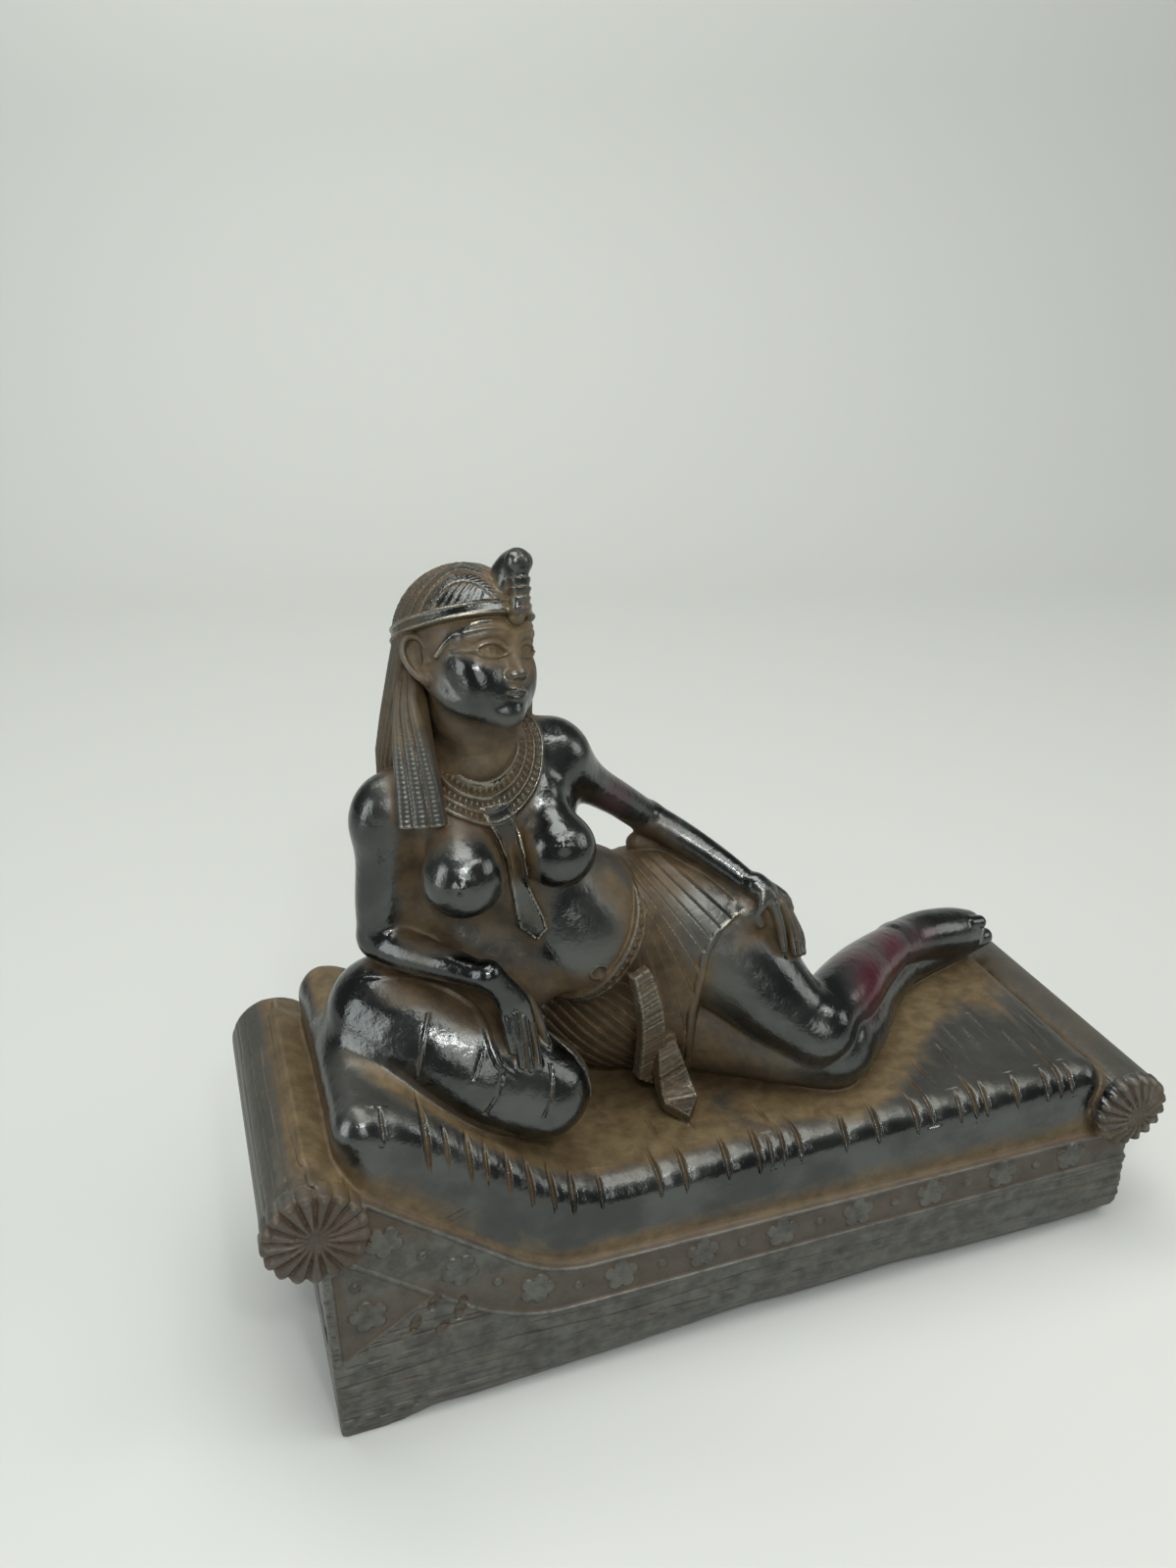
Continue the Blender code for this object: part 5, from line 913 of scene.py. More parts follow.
def head(pts):
    """Skull, face and ears, in the head's own frame: left, front, up from the middle of the skull."""
    L = Layer(pts, 4)
    L.ell((0, -1.4, 2.4), (9.5, 11.7, 10.4))
    L.ell((0, 2.4, -2.9), (7.8, 8.3, 8.4), None, 3.0)
    # jaw, cheekbones, cheeks and chin
    L.ell((0, 4.6, -7.9), (5.0, 5.2, 3.7), None, 4.0)
    for s in (-1, 1):
        L.limb([(s * 7.1, -0.6, -4.8, 1.5), (s * 6.2, 2.2, -7.8, 1.6), (s * 3.5, 6.4, -10.0, 1.6), (0, 8.5, -10.8, 1.6)], 3.0, 3)
        L.ell((s * 5.3, 6.2, -3.4), (2.4, 2.6, 2.0), None, 3.0)
        L.ell((s * 4.1, 7.1, -6.4), (2.5, 2.5, 2.6), None, 3.0)
    L.ell((0, 8.9, -10.8), (2.0, 1.8, 1.45), None, 2.0)
    # brow, sockets and eyeballs
    L.limb([(-6.6, 6.6, 1.7, 1.3), (-3.4, 9.2, 2.1, 1.4), (0, 9.9, 1.5, 1.4), (3.4, 9.2, 2.1, 1.4), (6.6, 6.6, 1.7, 1.3)], 2.4, 3)
    for s in (-1, 1):
        L.ell((s * 3.7, 12.0, -0.8), (2.7, 2.0, 1.5), None, 2.2, "cut")
        L.ell((s * 3.75, 7.65, -0.8), (2.5, 2.2, 1.75), None, 0.8)
    # nose
    L.limb([(0, 9.9, 1.0, 0.95), (0, 10.9, -1.8, 0.85), (0, 12.1, -4.3, 0.95)], 1.6, 3)
    L.ell((0, 12.2, -4.5), (1.05, 1.15, 0.85), None, 0.8)
    for s in (-1, 1):
        L.ell((s * 1.3, 11.1, -4.75), (0.8, 1.1, 0.72), None, 0.7)
    for s in (-1, 1):
        L.ell((s * 0.6, 11.8, -5.4), (0.36, 0.55, 0.3), None, 0.3, "cut")
    # mouth
    L.ell((0, 9.5, -7.4), (3.1, 1.6, 1.9), None, 1.8)
    L.limb([(-2.4, 9.9, -7.62, 0.3), (-1.3, 10.8, -7.25, 0.45), (-0.5, 11.25, -7.05, 0.5), (0, 11.2, -7.18, 0.5), (0.5, 11.25, -7.05, 0.5), (1.3, 10.8, -7.25, 0.45), (2.4, 9.9, -7.62, 0.3)], 0.5, 2)
    L.limb([(-2.1, 10.0, -7.85, 0.32), (-0.9, 10.8, -8.25, 0.55), (0.9, 10.8, -8.25, 0.55), (2.1, 10.0, -7.85, 0.32)], 0.5, 3)
    L.limb([(-2.2, 10.6, -7.66, 0.12), (-1.0, 11.45, -7.64, 0.18), (0, 11.7, -7.74, 0.18), (1.0, 11.45, -7.64, 0.18), (2.2, 10.6, -7.66, 0.12)], 0.35, 2, "cut")
    for s in (-1, 1):
        ear(L, s)
    q = L.pts.P
    l, u = np.abs(q[:, 0]), q[:, 2]
    front = step(3.0, 6.0, q[:, 1]) * step(9.5, 8.5, l) * step(6, 5, np.abs(u + 1))
    m = front > 0
    if m.any():
        lm, um = l[m], u[m]
        h = np.zeros(len(lm), F)
        s = (lm - 3.9) / 2.5
        e = np.clip(1 - s * s, 0, 1) ** 0.7
        mid = -0.85 + 0.12 * s
        up, lo = mid + 1.1 * e, mid - 0.75 * e
        near = step(1.3, 0.85, np.abs(s))
        inside = step(-0.1, 0.35, up - um) * step(-0.1, 0.35, um - lo)
        # rims of the lids, the sunk eye between them, and the painted line running back
        h += near * 0.34 * (bump(um - up - 0.2, 0.5) + bump(um - lo + 0.2, 0.45)) - near * 0.16 * inside
        iris = np.sqrt((lm - 3.75) ** 2 + (um - mid - 0.1) ** 2)
        h += 0.14 * bump(iris - 0.7, 0.4) * inside
        tail = -0.8 + 0.06 * (lm - 6.2)
        h += 0.26 * bump(um - tail, 0.5) * step(5.9, 6.5, lm) * step(8.9, 8.2, lm)
        h -= 0.14 * bump(um - up - 0.95, 0.4) * near
        brow = 2.0 + 0.8 * np.clip(1 - ((lm - 4.3) / 3.9) ** 2, -1, 1)
        h += 0.32 * bump(um - brow, 0.55) * step(1.0, 1.9, lm) * step(8.7, 7.9, lm)
        L.d[m] -= h * front[m]
    return L


def ear(L, s):
    """A shell of one rim, its hollow and the lobe, standing out from the hair."""
    n = unit((s * 0.80, 0.58, 0.08))
    t = np.array([0.0, -0.28, 1.0])
    t = unit(t - n * (t @ n))
    b = np.cross(n, t) * -s
    b = b if b[1] < 0 else -b
    c = np.array([s * 9.7, -1.2, -1.4])
    B = np.stack([b, n, t], 1)

    def at(x, z, o):
        return c + b * x + t * z + n * o

    L.ell(at(0.4, 0.3, -0.9), (2.0, 1.2, 3.5), B, 0.5)
    L.limb([(*at(-0.6, 0.2, -1.2), 1.6), (*at(-0.2, -3.0, -0.9), 1.1)], 0.8, 1)
    rim = [(-1.5, 1.4), (-1.0, 3.0), (0.3, 3.9), (1.7, 3.4), (2.35, 1.8), (2.15, 0.0), (1.5, -1.7), (0.6, -3.1), (-0.4, -3.8)]
    L.limb([(*at(x, z, 0.1), 0.58) for x, z in rim], 0.25, 3)
    L.ell(at(-0.45, -3.7, -0.1), (0.95, 0.75, 1.05), B, 0.5)
    L.ell(at(0.45, 0.7, 0.35), (1.15, 0.75, 2.1), B, 0.35, "cut")
    L.limb([(*at(-1.2, 0.5, 0.0), 0.5), (*at(-1.3, -0.9, 0.1), 0.5)], 0.4, 1)


BAND_RISE = 0.15


def over_band(q):
    """Height above the headband's middle, in the head's own frame."""
    return q[:, 2] - 4.5 - BAND_RISE * (q[:, 1] + 1.0)


def feathers(q, fine):
    """Low relief on the cap: a wing on each side, its rows of barbs curving round a plain patch over the brow."""
    if not fine:
        return 0
    v = over_band(q)
    wing = np.abs(np.arctan2(q[:, 0], q[:, 1] + 1.0)) * 11.0
    a, b = wing - 8.4, v * 1.05
    r = np.sqrt(a * a + b * b)
    th = np.arctan2(b, -a)
    rows = (r - 5.0) / 2.6
    k = np.floor(rows)
    t = rows - k
    quill = np.abs((th * r / 0.95 + 0.6 * t + 0.5 * (k % 2)) % 1.0 - 0.5) * 2
    far = step(4.7, 5.4, r)
    lift = 0.42 * np.sqrt(np.clip(1 - t, 0, 1)) * step(0.0, 0.16, t) + 0.16 * (quill - 0.5) * step(0.05, 0.3, t)
    strokes = 0.11 * np.sin((a * 0.75 + b * 0.66) * 5.2 + 1.2 * np.sin(b * 1.3)) * step(0.6, 1.5, v)
    return (far * lift + (1 - far) * strokes) * step(0.5, 1.3, v)


def dress(pts, fine):
    """Cap, headband and cobra, in the head's own frame."""
    L = Layer(pts, 4)
    L.ell((0, -1.0, 2.3), (10.6, 12.9, 12.0))
    L.d = L.d - feathers(pts.P, fine)
    L.put(lambda q: -over_band(q), *around((0, 0, 2), 18), 0.5, "keep")
    B = Layer(pts, 4)
    B.ell((0, -1.0, 2.3), (11.05, 13.2, 12.3))
    v = over_band(pts.P)
    B.d = B.d - 0.42 * bump(v - 0.95, 0.5) - 0.34 * bump(v + 0.95, 0.5)
    B.put(lambda q: np.abs(over_band(q)) - 1.25, *around((0, 0, 2), 18), 0.5, "keep")
    L.d = smin(L.d, B.d, 0.3)
    # the hair's edge comes down at the temples in front of the ears
    for s in (-1, 1):
        L.limb([(s * 4.0, 10.0, 4.0, 0.3), (s * 6.6, 8.3, 3.4, 0.5), (s * 8.5, 4.8, 1.2, 0.6), (s * 9.1, 2.2, -1.2, 0.4)], 0.6, 3)
    # cobra: ringed body up the brow, turning over into a blunt head
    K = Layer(pts, 4)
    K.limb([(0, 11.6, 4.6, 1.4), (0, 12.6, 7.2, 1.65), (0, 12.8, 9.6, 1.7), (0, 12.6, 12.0, 1.7)], 0.0, 3)
    if fine:
        ring = (pts.P[:, 2] - 4.6) / 1.55
        ring = ring - np.floor(ring)
        K.d = K.d - 0.5 * (ring - 0.5 - step(0.85, 1.0, ring)) * step(3.8, 5.2, pts.P[:, 2]) * step(12.4, 11.6, pts.P[:, 2])
    K.limb([(0, 9.0, 12.0, 1.9), (0, 10.8, 13.0, 2.1), (0, 12.4, 13.2, 2.3)], 0.6, 2)
    # the casting's web between the cobra and the cap
    K.limb([(0, 8.2, 7.4, 2.2), (0, 9.6, 9.8, 2.0), (0, 10.6, 11.6, 1.8)], 0.8, 2)
    for s in (-1, 1):
        K.ell((s * 1.3, 12.9, 13.2), (1.15, 1.4, 1.6), None, 0.35)
        K.ell((s * 1.0, 12.7, 6.2), (0.8, 1.0, 1.6), None, 0.4)
    L.d = smin(L.d, K.d, 0.4)
    return L


def around(c, r):
    c = np.asarray(c, float)
    return c - r, c + r


# hair: rows of z, centre x, centre y, half breadth, half depth
HAIR = np.array([(165.0, 43.6, 36.4, 11.4, 11.8), (158.0, 43.0, 36.8, 12.5, 12.3), (151.0, 42.6, 37.7, 13.7, 12.2), (142.0, 41.8, 39.0, 14.8, 11.4), (134.0, 41.2, 40.6, 15.5, 10.4), (126.0, 41.2, 41.6, 15.6, 9.2), (121.0, 41.6, 41.6, 15.0, 7.6)])
STRANDS = 50
# the fall over the right shoulder: rows of z, centre x, centre y, half breadth, the way it faces x, y
FALL = np.array([(154.0, 32.6, 34.6, 2.0, -0.95, -0.30), (149.0, 31.6, 32.6, 2.7, -0.88, -0.47), (144.0, 31.0, 30.4, 3.3, -0.70, -0.71), (138.0, 30.7, 28.0, 3.8, -0.50, -0.87), (131.0, 30.7, 25.5, 4.3, -0.30, -0.95), (124.0, 30.6, 23.1, 4.7, -0.20, -0.98)])


def hair(pts, fine):
    """A curtain of cords round the back and sides, and the square-ended fall over the right shoulder."""
    L = Layer(pts)

    def curtain(P):
        z = P[:, 2]
        cx, cy, rx, ry = (np.interp(z, HAIR[::-1, 0], HAIR[::-1, i]).astype(F) for i in (1, 2, 3, 4))
        dx, dy = (P[:, 0] - cx) / rx, (P[:, 1] - cy) / ry
        rho = np.sqrt(dx * dx + dy * dy)
        th = np.arctan2(dx, dy)  # 0 at the back
        d = (rho - 1) * np.minimum(rx, ry)
        s = np.abs(np.sin(th * STRANDS / 2 + (0.12 * np.sin(z * 0.35 + th * 3) if fine else 0)))
        d = d - 0.42 * (np.sqrt(s) - 0.6)
        # open at the front, and behind the right ear
        left = step(0.0, 0.3, dx)
        limit = (1.92 + 0.38 * step(149.5, 144.0, z)) * (1 - left) + 2.0 * left
        d = smax(d, (np.abs(th) - limit) * 13.0, 1.0)
        q = local(P, HEAD_AT, HEAD)
        tuck = (q[:, 2] / HEAD_SIZE - 4.4 - BAND_RISE * (q[:, 1] / HEAD_SIZE + 1.0)) * HEAD_SIZE
        d = np.maximum(d, tuck)
        return np.maximum(d, 122.0 - z).astype(F)

    L.put(curtain, (24, 24, 120), (60, 54, 168))
    L.put(lambda P: fall(P, fine), (23, 16, 121), (40, 38, 156), 1.0)
    return L


def fall(P, fine):
    z = P[:, 2]
    cx, cy, half, nx, ny = (np.interp(z, FALL[::-1, 0], FALL[::-1, i]).astype(F) for i in (1, 2, 3, 4, 5))
    n = np.sqrt(nx * nx + ny * ny)
    nx, ny = nx / n, ny / n
    dx, dy = P[:, 0] - cx, P[:, 1] - cy
    x, y = dx * -ny + dy * nx, dx * nx + dy * ny
    s = np.abs(np.cos(x / half * math.pi * 1.5))
    cord = 0.75 * (np.sqrt(s) - 0.65)
    if fine:
        cord = cord + 0.035 * np.sin(z * 7.4) * step(0.4, 0.7, s) * step(144, 138, z)
    thick = 2.1 - 1.1 * step(145.0, 153.0, z)
    d1, d2 = np.abs(x) - half + 0.7, np.abs(y + 0.03 * x * x) - thick - cord + 0.7
    d = np.sqrt(np.maximum(d1, 0) ** 2 + np.maximum(d2, 0) ** 2) + np.minimum(np.maximum(d1, d2), 0) - 0.7
    return smax(d, np.maximum(125.3 - z, z - 153.5), 0.6).astype(F)


def lower(pts):
    """Pelvis and thighs, which the kilt follows."""
    L = Layer(pts)
    L.ell(PELVIS_AT, (22.5, 15.0, 15.6), PELVIS)
    L.ell(pelvis_pt(9, -7, -4), (13.5, 13, 14.5), PELVIS, 7)
    L.ell(pelvis_pt(-9, -7, -4), (13.5, 12, 14.5), PELVIS, 7)
    L.ell(WAIST_AT + np.array([6.5, -4.5, -8.0]), (13.0, 10.6, 13.0), WAIST, 8)
    L.limb(LEFT_THIGH, 6.0)
    L.limb(RIGHT_THIGH, 6.0)
    # cloth hangs between the thighs
    L.limb([(82, 36, 70, 11), (91, 33, 66, 9)], 6.0, 1)
    return L


def below_belt(P):
    return (P - np.asarray(BELT_AT, F)) @ np.asarray(BELT_UP, F)


def past_hem(P):
    z = P[:, 2]
    bow = np.interp(z, (56.0, 62.0, 70.0, 78.0, 84.0, 88.3, 90.0, 91.2, 93.0, 97.0), (-0.4, -1.2, -2.0, -2.0, -2.3, -0.9, 1.7, 4.4, 10.0, 20.0)).astype(F)
    return P @ np.asarray(HEM_WAY, F) - (31.0 + 0.21 * (88.0 - z) + bow)


def pleats(P):
    """Pleats spread from a pole beside the navel; those of the flap under the sash run slanting."""
    x, z = P[:, 0], P[:, 2]
    th = np.degrees(np.arctan2(z - PLEAT_POLE[1], x - PLEAT_POLE[0]))
    far = np.hypot(z - PLEAT_POLE[1], x - PLEAT_POLE[0])
    u = (th + 0.22 * (far - 30)) / PLEAT_STEP
    flap = step(0.4, -0.4, x - np.interp(z, (48.0, 58.0, 68.0, 76.0, 86.0), (78.5, 77.0, 75.6, 74.2, 71.6)).astype(F))
    v = (x * 0.72 + z * 0.70) / 2.5
    u = np.where(flap > 0.5, v, u)
    u = u - np.floor(u)
    # each pleat rises slowly and drops sharply
    return (u - 0.5 - step(0.82, 1.0, u)) * step(4, 22, far) * (1 - 0.8 * step(37, 44, P[:, 1]))


def kilt(pts):
    """The body's own surface, thickened between the belt and the hem, with its pleats."""
    L = lower(pts)
    P = pts.P
    hem = past_hem(P)
    rim = step(-1.9, -1.1, hem)
    d = L.d - 1.0 - 0.85 * pleats(P) * (1 - rim) - 0.35 * rim
    cut = smax(below_belt(P) + 0.5, hem, 1.0)
    L.d = smax(d, cut, 0.8)
    return L


def belt(pts):
    L = Layer(pts)
    L.ell(WAIST_AT + np.array([6.5, -4.5, -8.0]), (13.0, 10.6, 13.0), WAIST)
    L.ell(WAIST_AT, (14.2, 10.6, 14.0), WAIST, 8)
    L.ell(PELVIS_AT, (22.5, 15.0, 15.6), PELVIS, 8)
    s = below_belt(pts.P)
    q = pts.P - np.asarray(BELT_AT, F)
    B = basis((0.5, 0.1, 0.8), BELT_UP)
    th = np.arctan2(q @ np.asarray(B[:, 1], F), q @ np.asarray(B[:, 0], F))
    studs = 0.5 * np.cos(th * 50)
    lift = 0.9 + 0.6 * bump(s - 0.35, 0.75) + 0.6 * bump(s + 3.0, 0.75) + studs * bump(s + 1.35, 1.2)
    L.d = np.maximum(L.d - lift, np.abs(s + 1.35) - 2.25)
    return L


def collar(pts, skin):
    """Broad collar: four raised cords with rows of beads between them."""
    P = pts.P
    q = local(P, COLLAR_AT, COLLAR_AXIS)
    rho = np.sqrt((q[:, 0] / COLLAR_WIDE) ** 2 + q[:, 1] ** 2)
    th = np.arctan2(q[:, 1], q[:, 0] / COLLAR_WIDE)
    lift = 0.5 * np.ones_like(rho)
    for r in CORDS:
        lift = lift + 0.55 * bump(rho - r, 0.62)
    for (a, b), n in zip(zip(CORDS[:-1], CORDS[1:]), (44, 56, 66)):
        lift = lift + 0.3 * np.cos(th * n) * bump(rho - (a + b) / 2, 0.75)
    ring = np.maximum(rho - CORDS[-1] - 0.35, CORDS[0] - 0.3 - rho)
    ring = np.maximum(ring, np.maximum(q[:, 2] - 3.6, -6.0 - q[:, 2]))
    ring = np.maximum(ring, np.minimum(38.5 - P[:, 0], P[:, 2] - 133.5))
    return np.maximum(skin - lift, ring)


def pendant(pts, skin):
    """Flat strap that hangs from the collar and ends in a point."""
    P = pts.P
    way = np.array([(44.6, 126.6, 3.2), (46.6, 121.0, 2.3), (47.2, 117.0, 1.7), (48.0, 112.0, 1.5), (49.6, 105.6, 2.3), (50.7, 101.0, 2.9), (51.2, 98.6, 2.9), (51.8, 95.6, 0.1)])
    z = P[:, 2]
    mid = np.interp(z, way[::-1, 1], way[::-1, 0])
    half = np.interp(z, way[::-1, 1], way[::-1, 2])
    side = (np.abs(P[:, 0] - mid) - half) * 0.8
    side = np.maximum(side, np.maximum(z - 127.4, 95.8 - z))
    side = np.maximum(side, P[:, 1] - 31)
    rim = bump(side + 0.35, 0.45)
    return np.maximum(skin - 0.8 - 0.2 * rim, side)


def sash(pts, fine):
    L = Layer(pts)
    for path, top in ((SASH_B, 0), (SASH_A, 1)):
        rows = np.array(path)
        s = spline(rows[:-1], 5)
        along = 0.0
        for a, b in list(zip(s[:-1], s[1:])) + [(rows[-2], rows[-1])]:
            L.put(lambda P, a=a, b=b, at=along: strap(P, a, b, at, fine), np.minimum(a, b)[:3] - 5, np.maximum(a, b)[:3] + 5, 0.0)
            along += float(np.linalg.norm(b[:3] - a[:3]))
    return L


def strap(P, a, b, start, fine):
    """A flat band from a to b, broad across x, with a groove every 2.2 mm."""
    ax = unit(b[:3] - a[:3])
    wide = unit(np.array([1.0, 0.25, 0.0]) - ax * (np.array([1.0, 0.25, 0.0]) @ ax))
    B = np.stack([wide, np.cross(wide, ax), ax], 1)
    q = local(P, (a[:3] + b[:3]) / 2, B)
    half = float(np.linalg.norm(b[:3] - a[:3])) / 2
    t = np.clip((q[:, 2] + half) / (2 * half), 0, 1)
    width = a[3] + (b[3] - a[3]) * t
    s = start + q[:, 2] + half
    rib = -0.10 * bump(s % 2.2 - 1.1, 0.5) - 0.34 * bump((s + 1.2) % 8.4 - 4.2, 0.5) + 0.2 * bump((s + 2.4) % 8.4 - 4.2, 0.6) if fine else 0
    rib = rib + 0.14 * bump(np.abs(q[:, 0]) - width + 0.45, 0.4) if fine else 0
    d = np.maximum((np.abs(q[:, 0]) - width) * 0.9, np.abs(q[:, 1]) - 1.3 - rib)
    return np.maximum(d, np.abs(q[:, 2]) - half - 0.25).astype(F)


def sculpt(P, fine):
    """Distance to the whole casting."""
    pts = Points(P)
    Q = pts.P
    d = frame(Q, fine)
    for at, side in ((HEAD_SCROLL, -1), (FOOT_SCROLL, 1)):
        cx, cz, r = at
        idx = pts.near((cx - r - 6, -9, cz - r - 6), (cx + r + 6, COUCH_DEPTH + 9, cz + r + 6))
        if idx is not None:
            y = Q[idx][:, 1]
            soft = 0.5 + 3.5 * step(3, 7, y) * step(62, 58, y)  # the roll runs softly into the couch's top
            d[idx] = smin(d[idx], scroll(Q[idx], at, side, fine).astype(F), soft.astype(F))
    idx = pts.near((-1, -4, 25), (189, 70, 84))
    if idx is not None:
        d[idx] = smin(d[idx], mattress(Q[idx], fine), 1.2)
    idx = pts.near((2, 2, 42), (66, 48, 96))
    if idx is not None:
        soft = 1.6 + 4.4 * step(26, 13, Q[idx][:, 0])  # its end by the couch's head sinks into the mattress
        d[idx] = smin(d[idx], bolster(Q[idx], fine), soft)
    idx = pts.near(FIGURE_LOW, FIGURE_HIGH)
    if idx is not None:
        d[idx] = smin(d[idx], figure(Q[idx], fine), 1.0)
    return pts.restore(d)


def figure(P, fine):
    pts = Points(P)
    Q = pts.P
    skin = body(pts).d
    hat = np.full(len(Q), BIG, F)
    idx = pts.near(*around(HEAD_AT, 28))
    if idx is not None:
        hp = Points(local(Q[idx], HEAD_AT, HEAD) / F(HEAD_SIZE))
        hd = hp.restore(head(hp).d) * F(HEAD_SIZE)
        skin[idx] = smin(skin[idx], hd, 1.5)
        hat[idx] = hp.restore(dress(hp, fine).d) * F(HEAD_SIZE)
    d = np.minimum(skin, collar(pts, skin))
    d = np.minimum(d, pendant(pts, skin))
    q = Q - np.asarray(NAVEL, F)
    q = np.sqrt((q * q).sum(1))
    d = smax(d - 0.3 * bump(q - 1.9, 0.7), 1.5 - q, 0.5)
    d = smin(d, kilt(pts).d, 0.5)
    d = smin(d, belt(pts).d, 0.4)
    d = smin(d, sash(pts, fine).d, 0.4)
    d = smin(d, hair(pts, fine).d, 0.5)
    d = smin(d, hat, 0.4)
    return pts.restore(d)


# ---------------------------------------------------------------- the visual casting
ORIGIN = np.array([93.5, 32.5, 0.0])
LOW, HIGH = (-13.0, -6.0, -3.0), (200.0, 71.0, 180.0)
# the casting is drawn in three bands of height, each on its own grid: name, foot, top, pitch, most triangles
BANDS = (
    ("queen_head_and_shoulders", 118.0, 181.0, 0.3, 198000),
    ("queen_body", 50.0, 118.0, 0.42, 198000),
    ("couch", -4.0, 50.0, 0.46, 198000),
)
LAP = 0.35  # how far neighbouring bands run past each other, on the same surface


def field(P):
    if len(P) < 20000:
        return sculpt(P, True)
    parts = np.array_split(np.arange(len(P)), max(4, len(P) // 250000))
    with ThreadPoolExecutor(4) as pool:
        return np.concatenate(list(pool.map(lambda i: sculpt(P[i], True), parts)))


def new_mesh(name, points, faces):
    """A mesh of equal-sided faces, filled straight from arrays."""
    mesh = bpy.data.meshes.new(name)
    n = faces.shape[1]
    mesh.vertices.add(len(points))
    mesh.vertices.foreach_set("co", points.astype(F).ravel())
    mesh.loops.add(faces.size)
    mesh.loops.foreach_set("vertex_index", faces.astype(np.int32).ravel())
    mesh.polygons.add(len(faces))
    mesh.polygons.foreach_set("loop_start", np.arange(len(faces), dtype=np.int32) * n)
    mesh.update(calc_edges=True)
    mesh.validate()
    return mesh


def thinned(mesh, most):
    """The same surface with at most this many triangles."""
    obj = bpy.data.objects.new("whole", mesh)
    bpy.context.scene.collection.objects.link(obj)
    obj.modifiers.new("triangles", "TRIANGULATE")
    thin = obj.modifiers.new("thin", "DECIMATE")
    thin.ratio = min(1.0, most / (2.0 * len(mesh.polygons)))
    got = obj.evaluated_get(bpy.context.evaluated_depsgraph_get()).to_mesh()
    points = np.empty(len(got.vertices) * 3, F)
    got.vertices.foreach_get("co", points)
    normals = np.empty(len(got.vertices) * 3, F)
    got.vertices.foreach_get("normal", normals)
    faces = np.empty(len(got.polygons) * 3, np.int32)
    got.polygons.foreach_get("vertices", faces)
    bpy.data.objects.remove(obj)
    bpy.data.meshes.remove(mesh)
    return points.reshape(-1, 3), normals.reshape(-1, 3), faces.reshape(-1, 3)


def crumbs_off(points, faces):
    """The mesh without its small loose pieces."""
    label = np.arange(len(points))
    ends = np.concatenate([faces[:, [0, 1]], faces[:, [1, 2]], faces[:, [2, faces.shape[1] - 1]], faces[:, [0, faces.shape[1] - 1]]])
    while True:
        low = np.minimum(label[ends[:, 0]], label[ends[:, 1]])
        new = label.copy()
        np.minimum.at(new, ends[:, 0], low)
        np.minimum.at(new, ends[:, 1], low)
        new = new[new]
        if (new == label).all():
            break
        label = new
    count = np.bincount(label[faces[:, 0]], minlength=len(points))
    keep = count[label[faces[:, 0]]] > 0.01 * len(faces)
    return faces[keep]


def packed(points, normals, faces):
    """Only the points that a face uses."""
    used = np.zeros(len(points), bool)
    used[faces.ravel()] = True
    new = np.cumsum(used) - 1
    return points[used], normals[used], new[faces].astype(np.int32)


def slopes(P):
    """The surface's own direction at each point, from the distance function."""
    out = np.zeros((len(P), 3), F)
    for k in ((1, -1, -1), (-1, -1, 1), (-1, 1, -1), (1, 1, 1)):
        k = np.asarray(k, F)
        out += k * field((P + k * F(0.09)).astype(F))[:, None]
    return out / np.maximum(np.sqrt((out * out).sum(1)), 1e-9)[:, None]


def casting(name, foot, top, pitch, most):
    edge = 3 * pitch
    lo, hi = np.array(LOW), np.array(HIGH)
    lo[2], hi[2] = max(lo[2], foot - edge), min(hi[2], top + edge)
    values, low = sample(field, lo, hi, pitch)
    points, quads = surface_nets(values, low, pitch)
    del values
    quads = crumbs_off(points, quads)
    points[points[:, 2] < 0.3, 2] = 0.0
    points, normals, quads = packed(points, points, quads)
    points, normals, faces = thinned(new_mesh("grid", points, quads), most)
    z = points[:, 2][faces]
    faces = faces[(z.min(1) < top + LAP) & (z.max(1) > foot - LAP)]
    points, normals, faces = packed(points, normals, faces)
    true = slopes(points)
    flat = (points[:, 2] < 0.6) | ((true * normals).sum(1) < 0.5)
    normals[~flat] = true[~flat]
    mesh = new_mesh(name, (points - ORIGIN) * 0.001, faces)
    mesh.shade_smooth()
    mesh.normals_split_custom_set_from_vertices(normals.tolist())
    shelter(mesh, points.astype(F), normals)
    wash(mesh, points.astype(F), normals)
    return mesh


def number(mesh, name, values):
    mesh.attributes.new(name, "FLOAT", "POINT").data.foreach_set("value", np.clip(values, 0, 1).astype(F))


def within(P, c, r, soft=1.0):
    """1 inside an ellipsoid, fading to 0 over its outer part."""
    q = np.sqrt((((P - np.asarray(c, F)) / np.asarray(r, F)) ** 2).sum(1))
    return step(1 + 0.5 * soft, 1 - 0.5 * soft, q)


def shelter(mesh, P, N):
    """Vertex numbers that the material reads: how sheltered each spot is, and how sharp an edge."""
    shut = {}
    for r in (0.5, 1.3, 3.2, 8.0):
        shut[r] = np.clip(1 - field(P + N * F(r)) / F(r), 0, 1.6)
    edge = np.clip(1 + field(P - N * F(0.8)) / F(0.8), 0, 1.2)
    number(mesh, "crease", shut[0.5] * 0.8 + shut[1.3] * 0.6)
    number(mesh, "shelter", shut[1.3] * 0.2 + shut[3.2] * 0.45 + shut[8.0] * 0.5)
    number(mesh, "edge", edge)


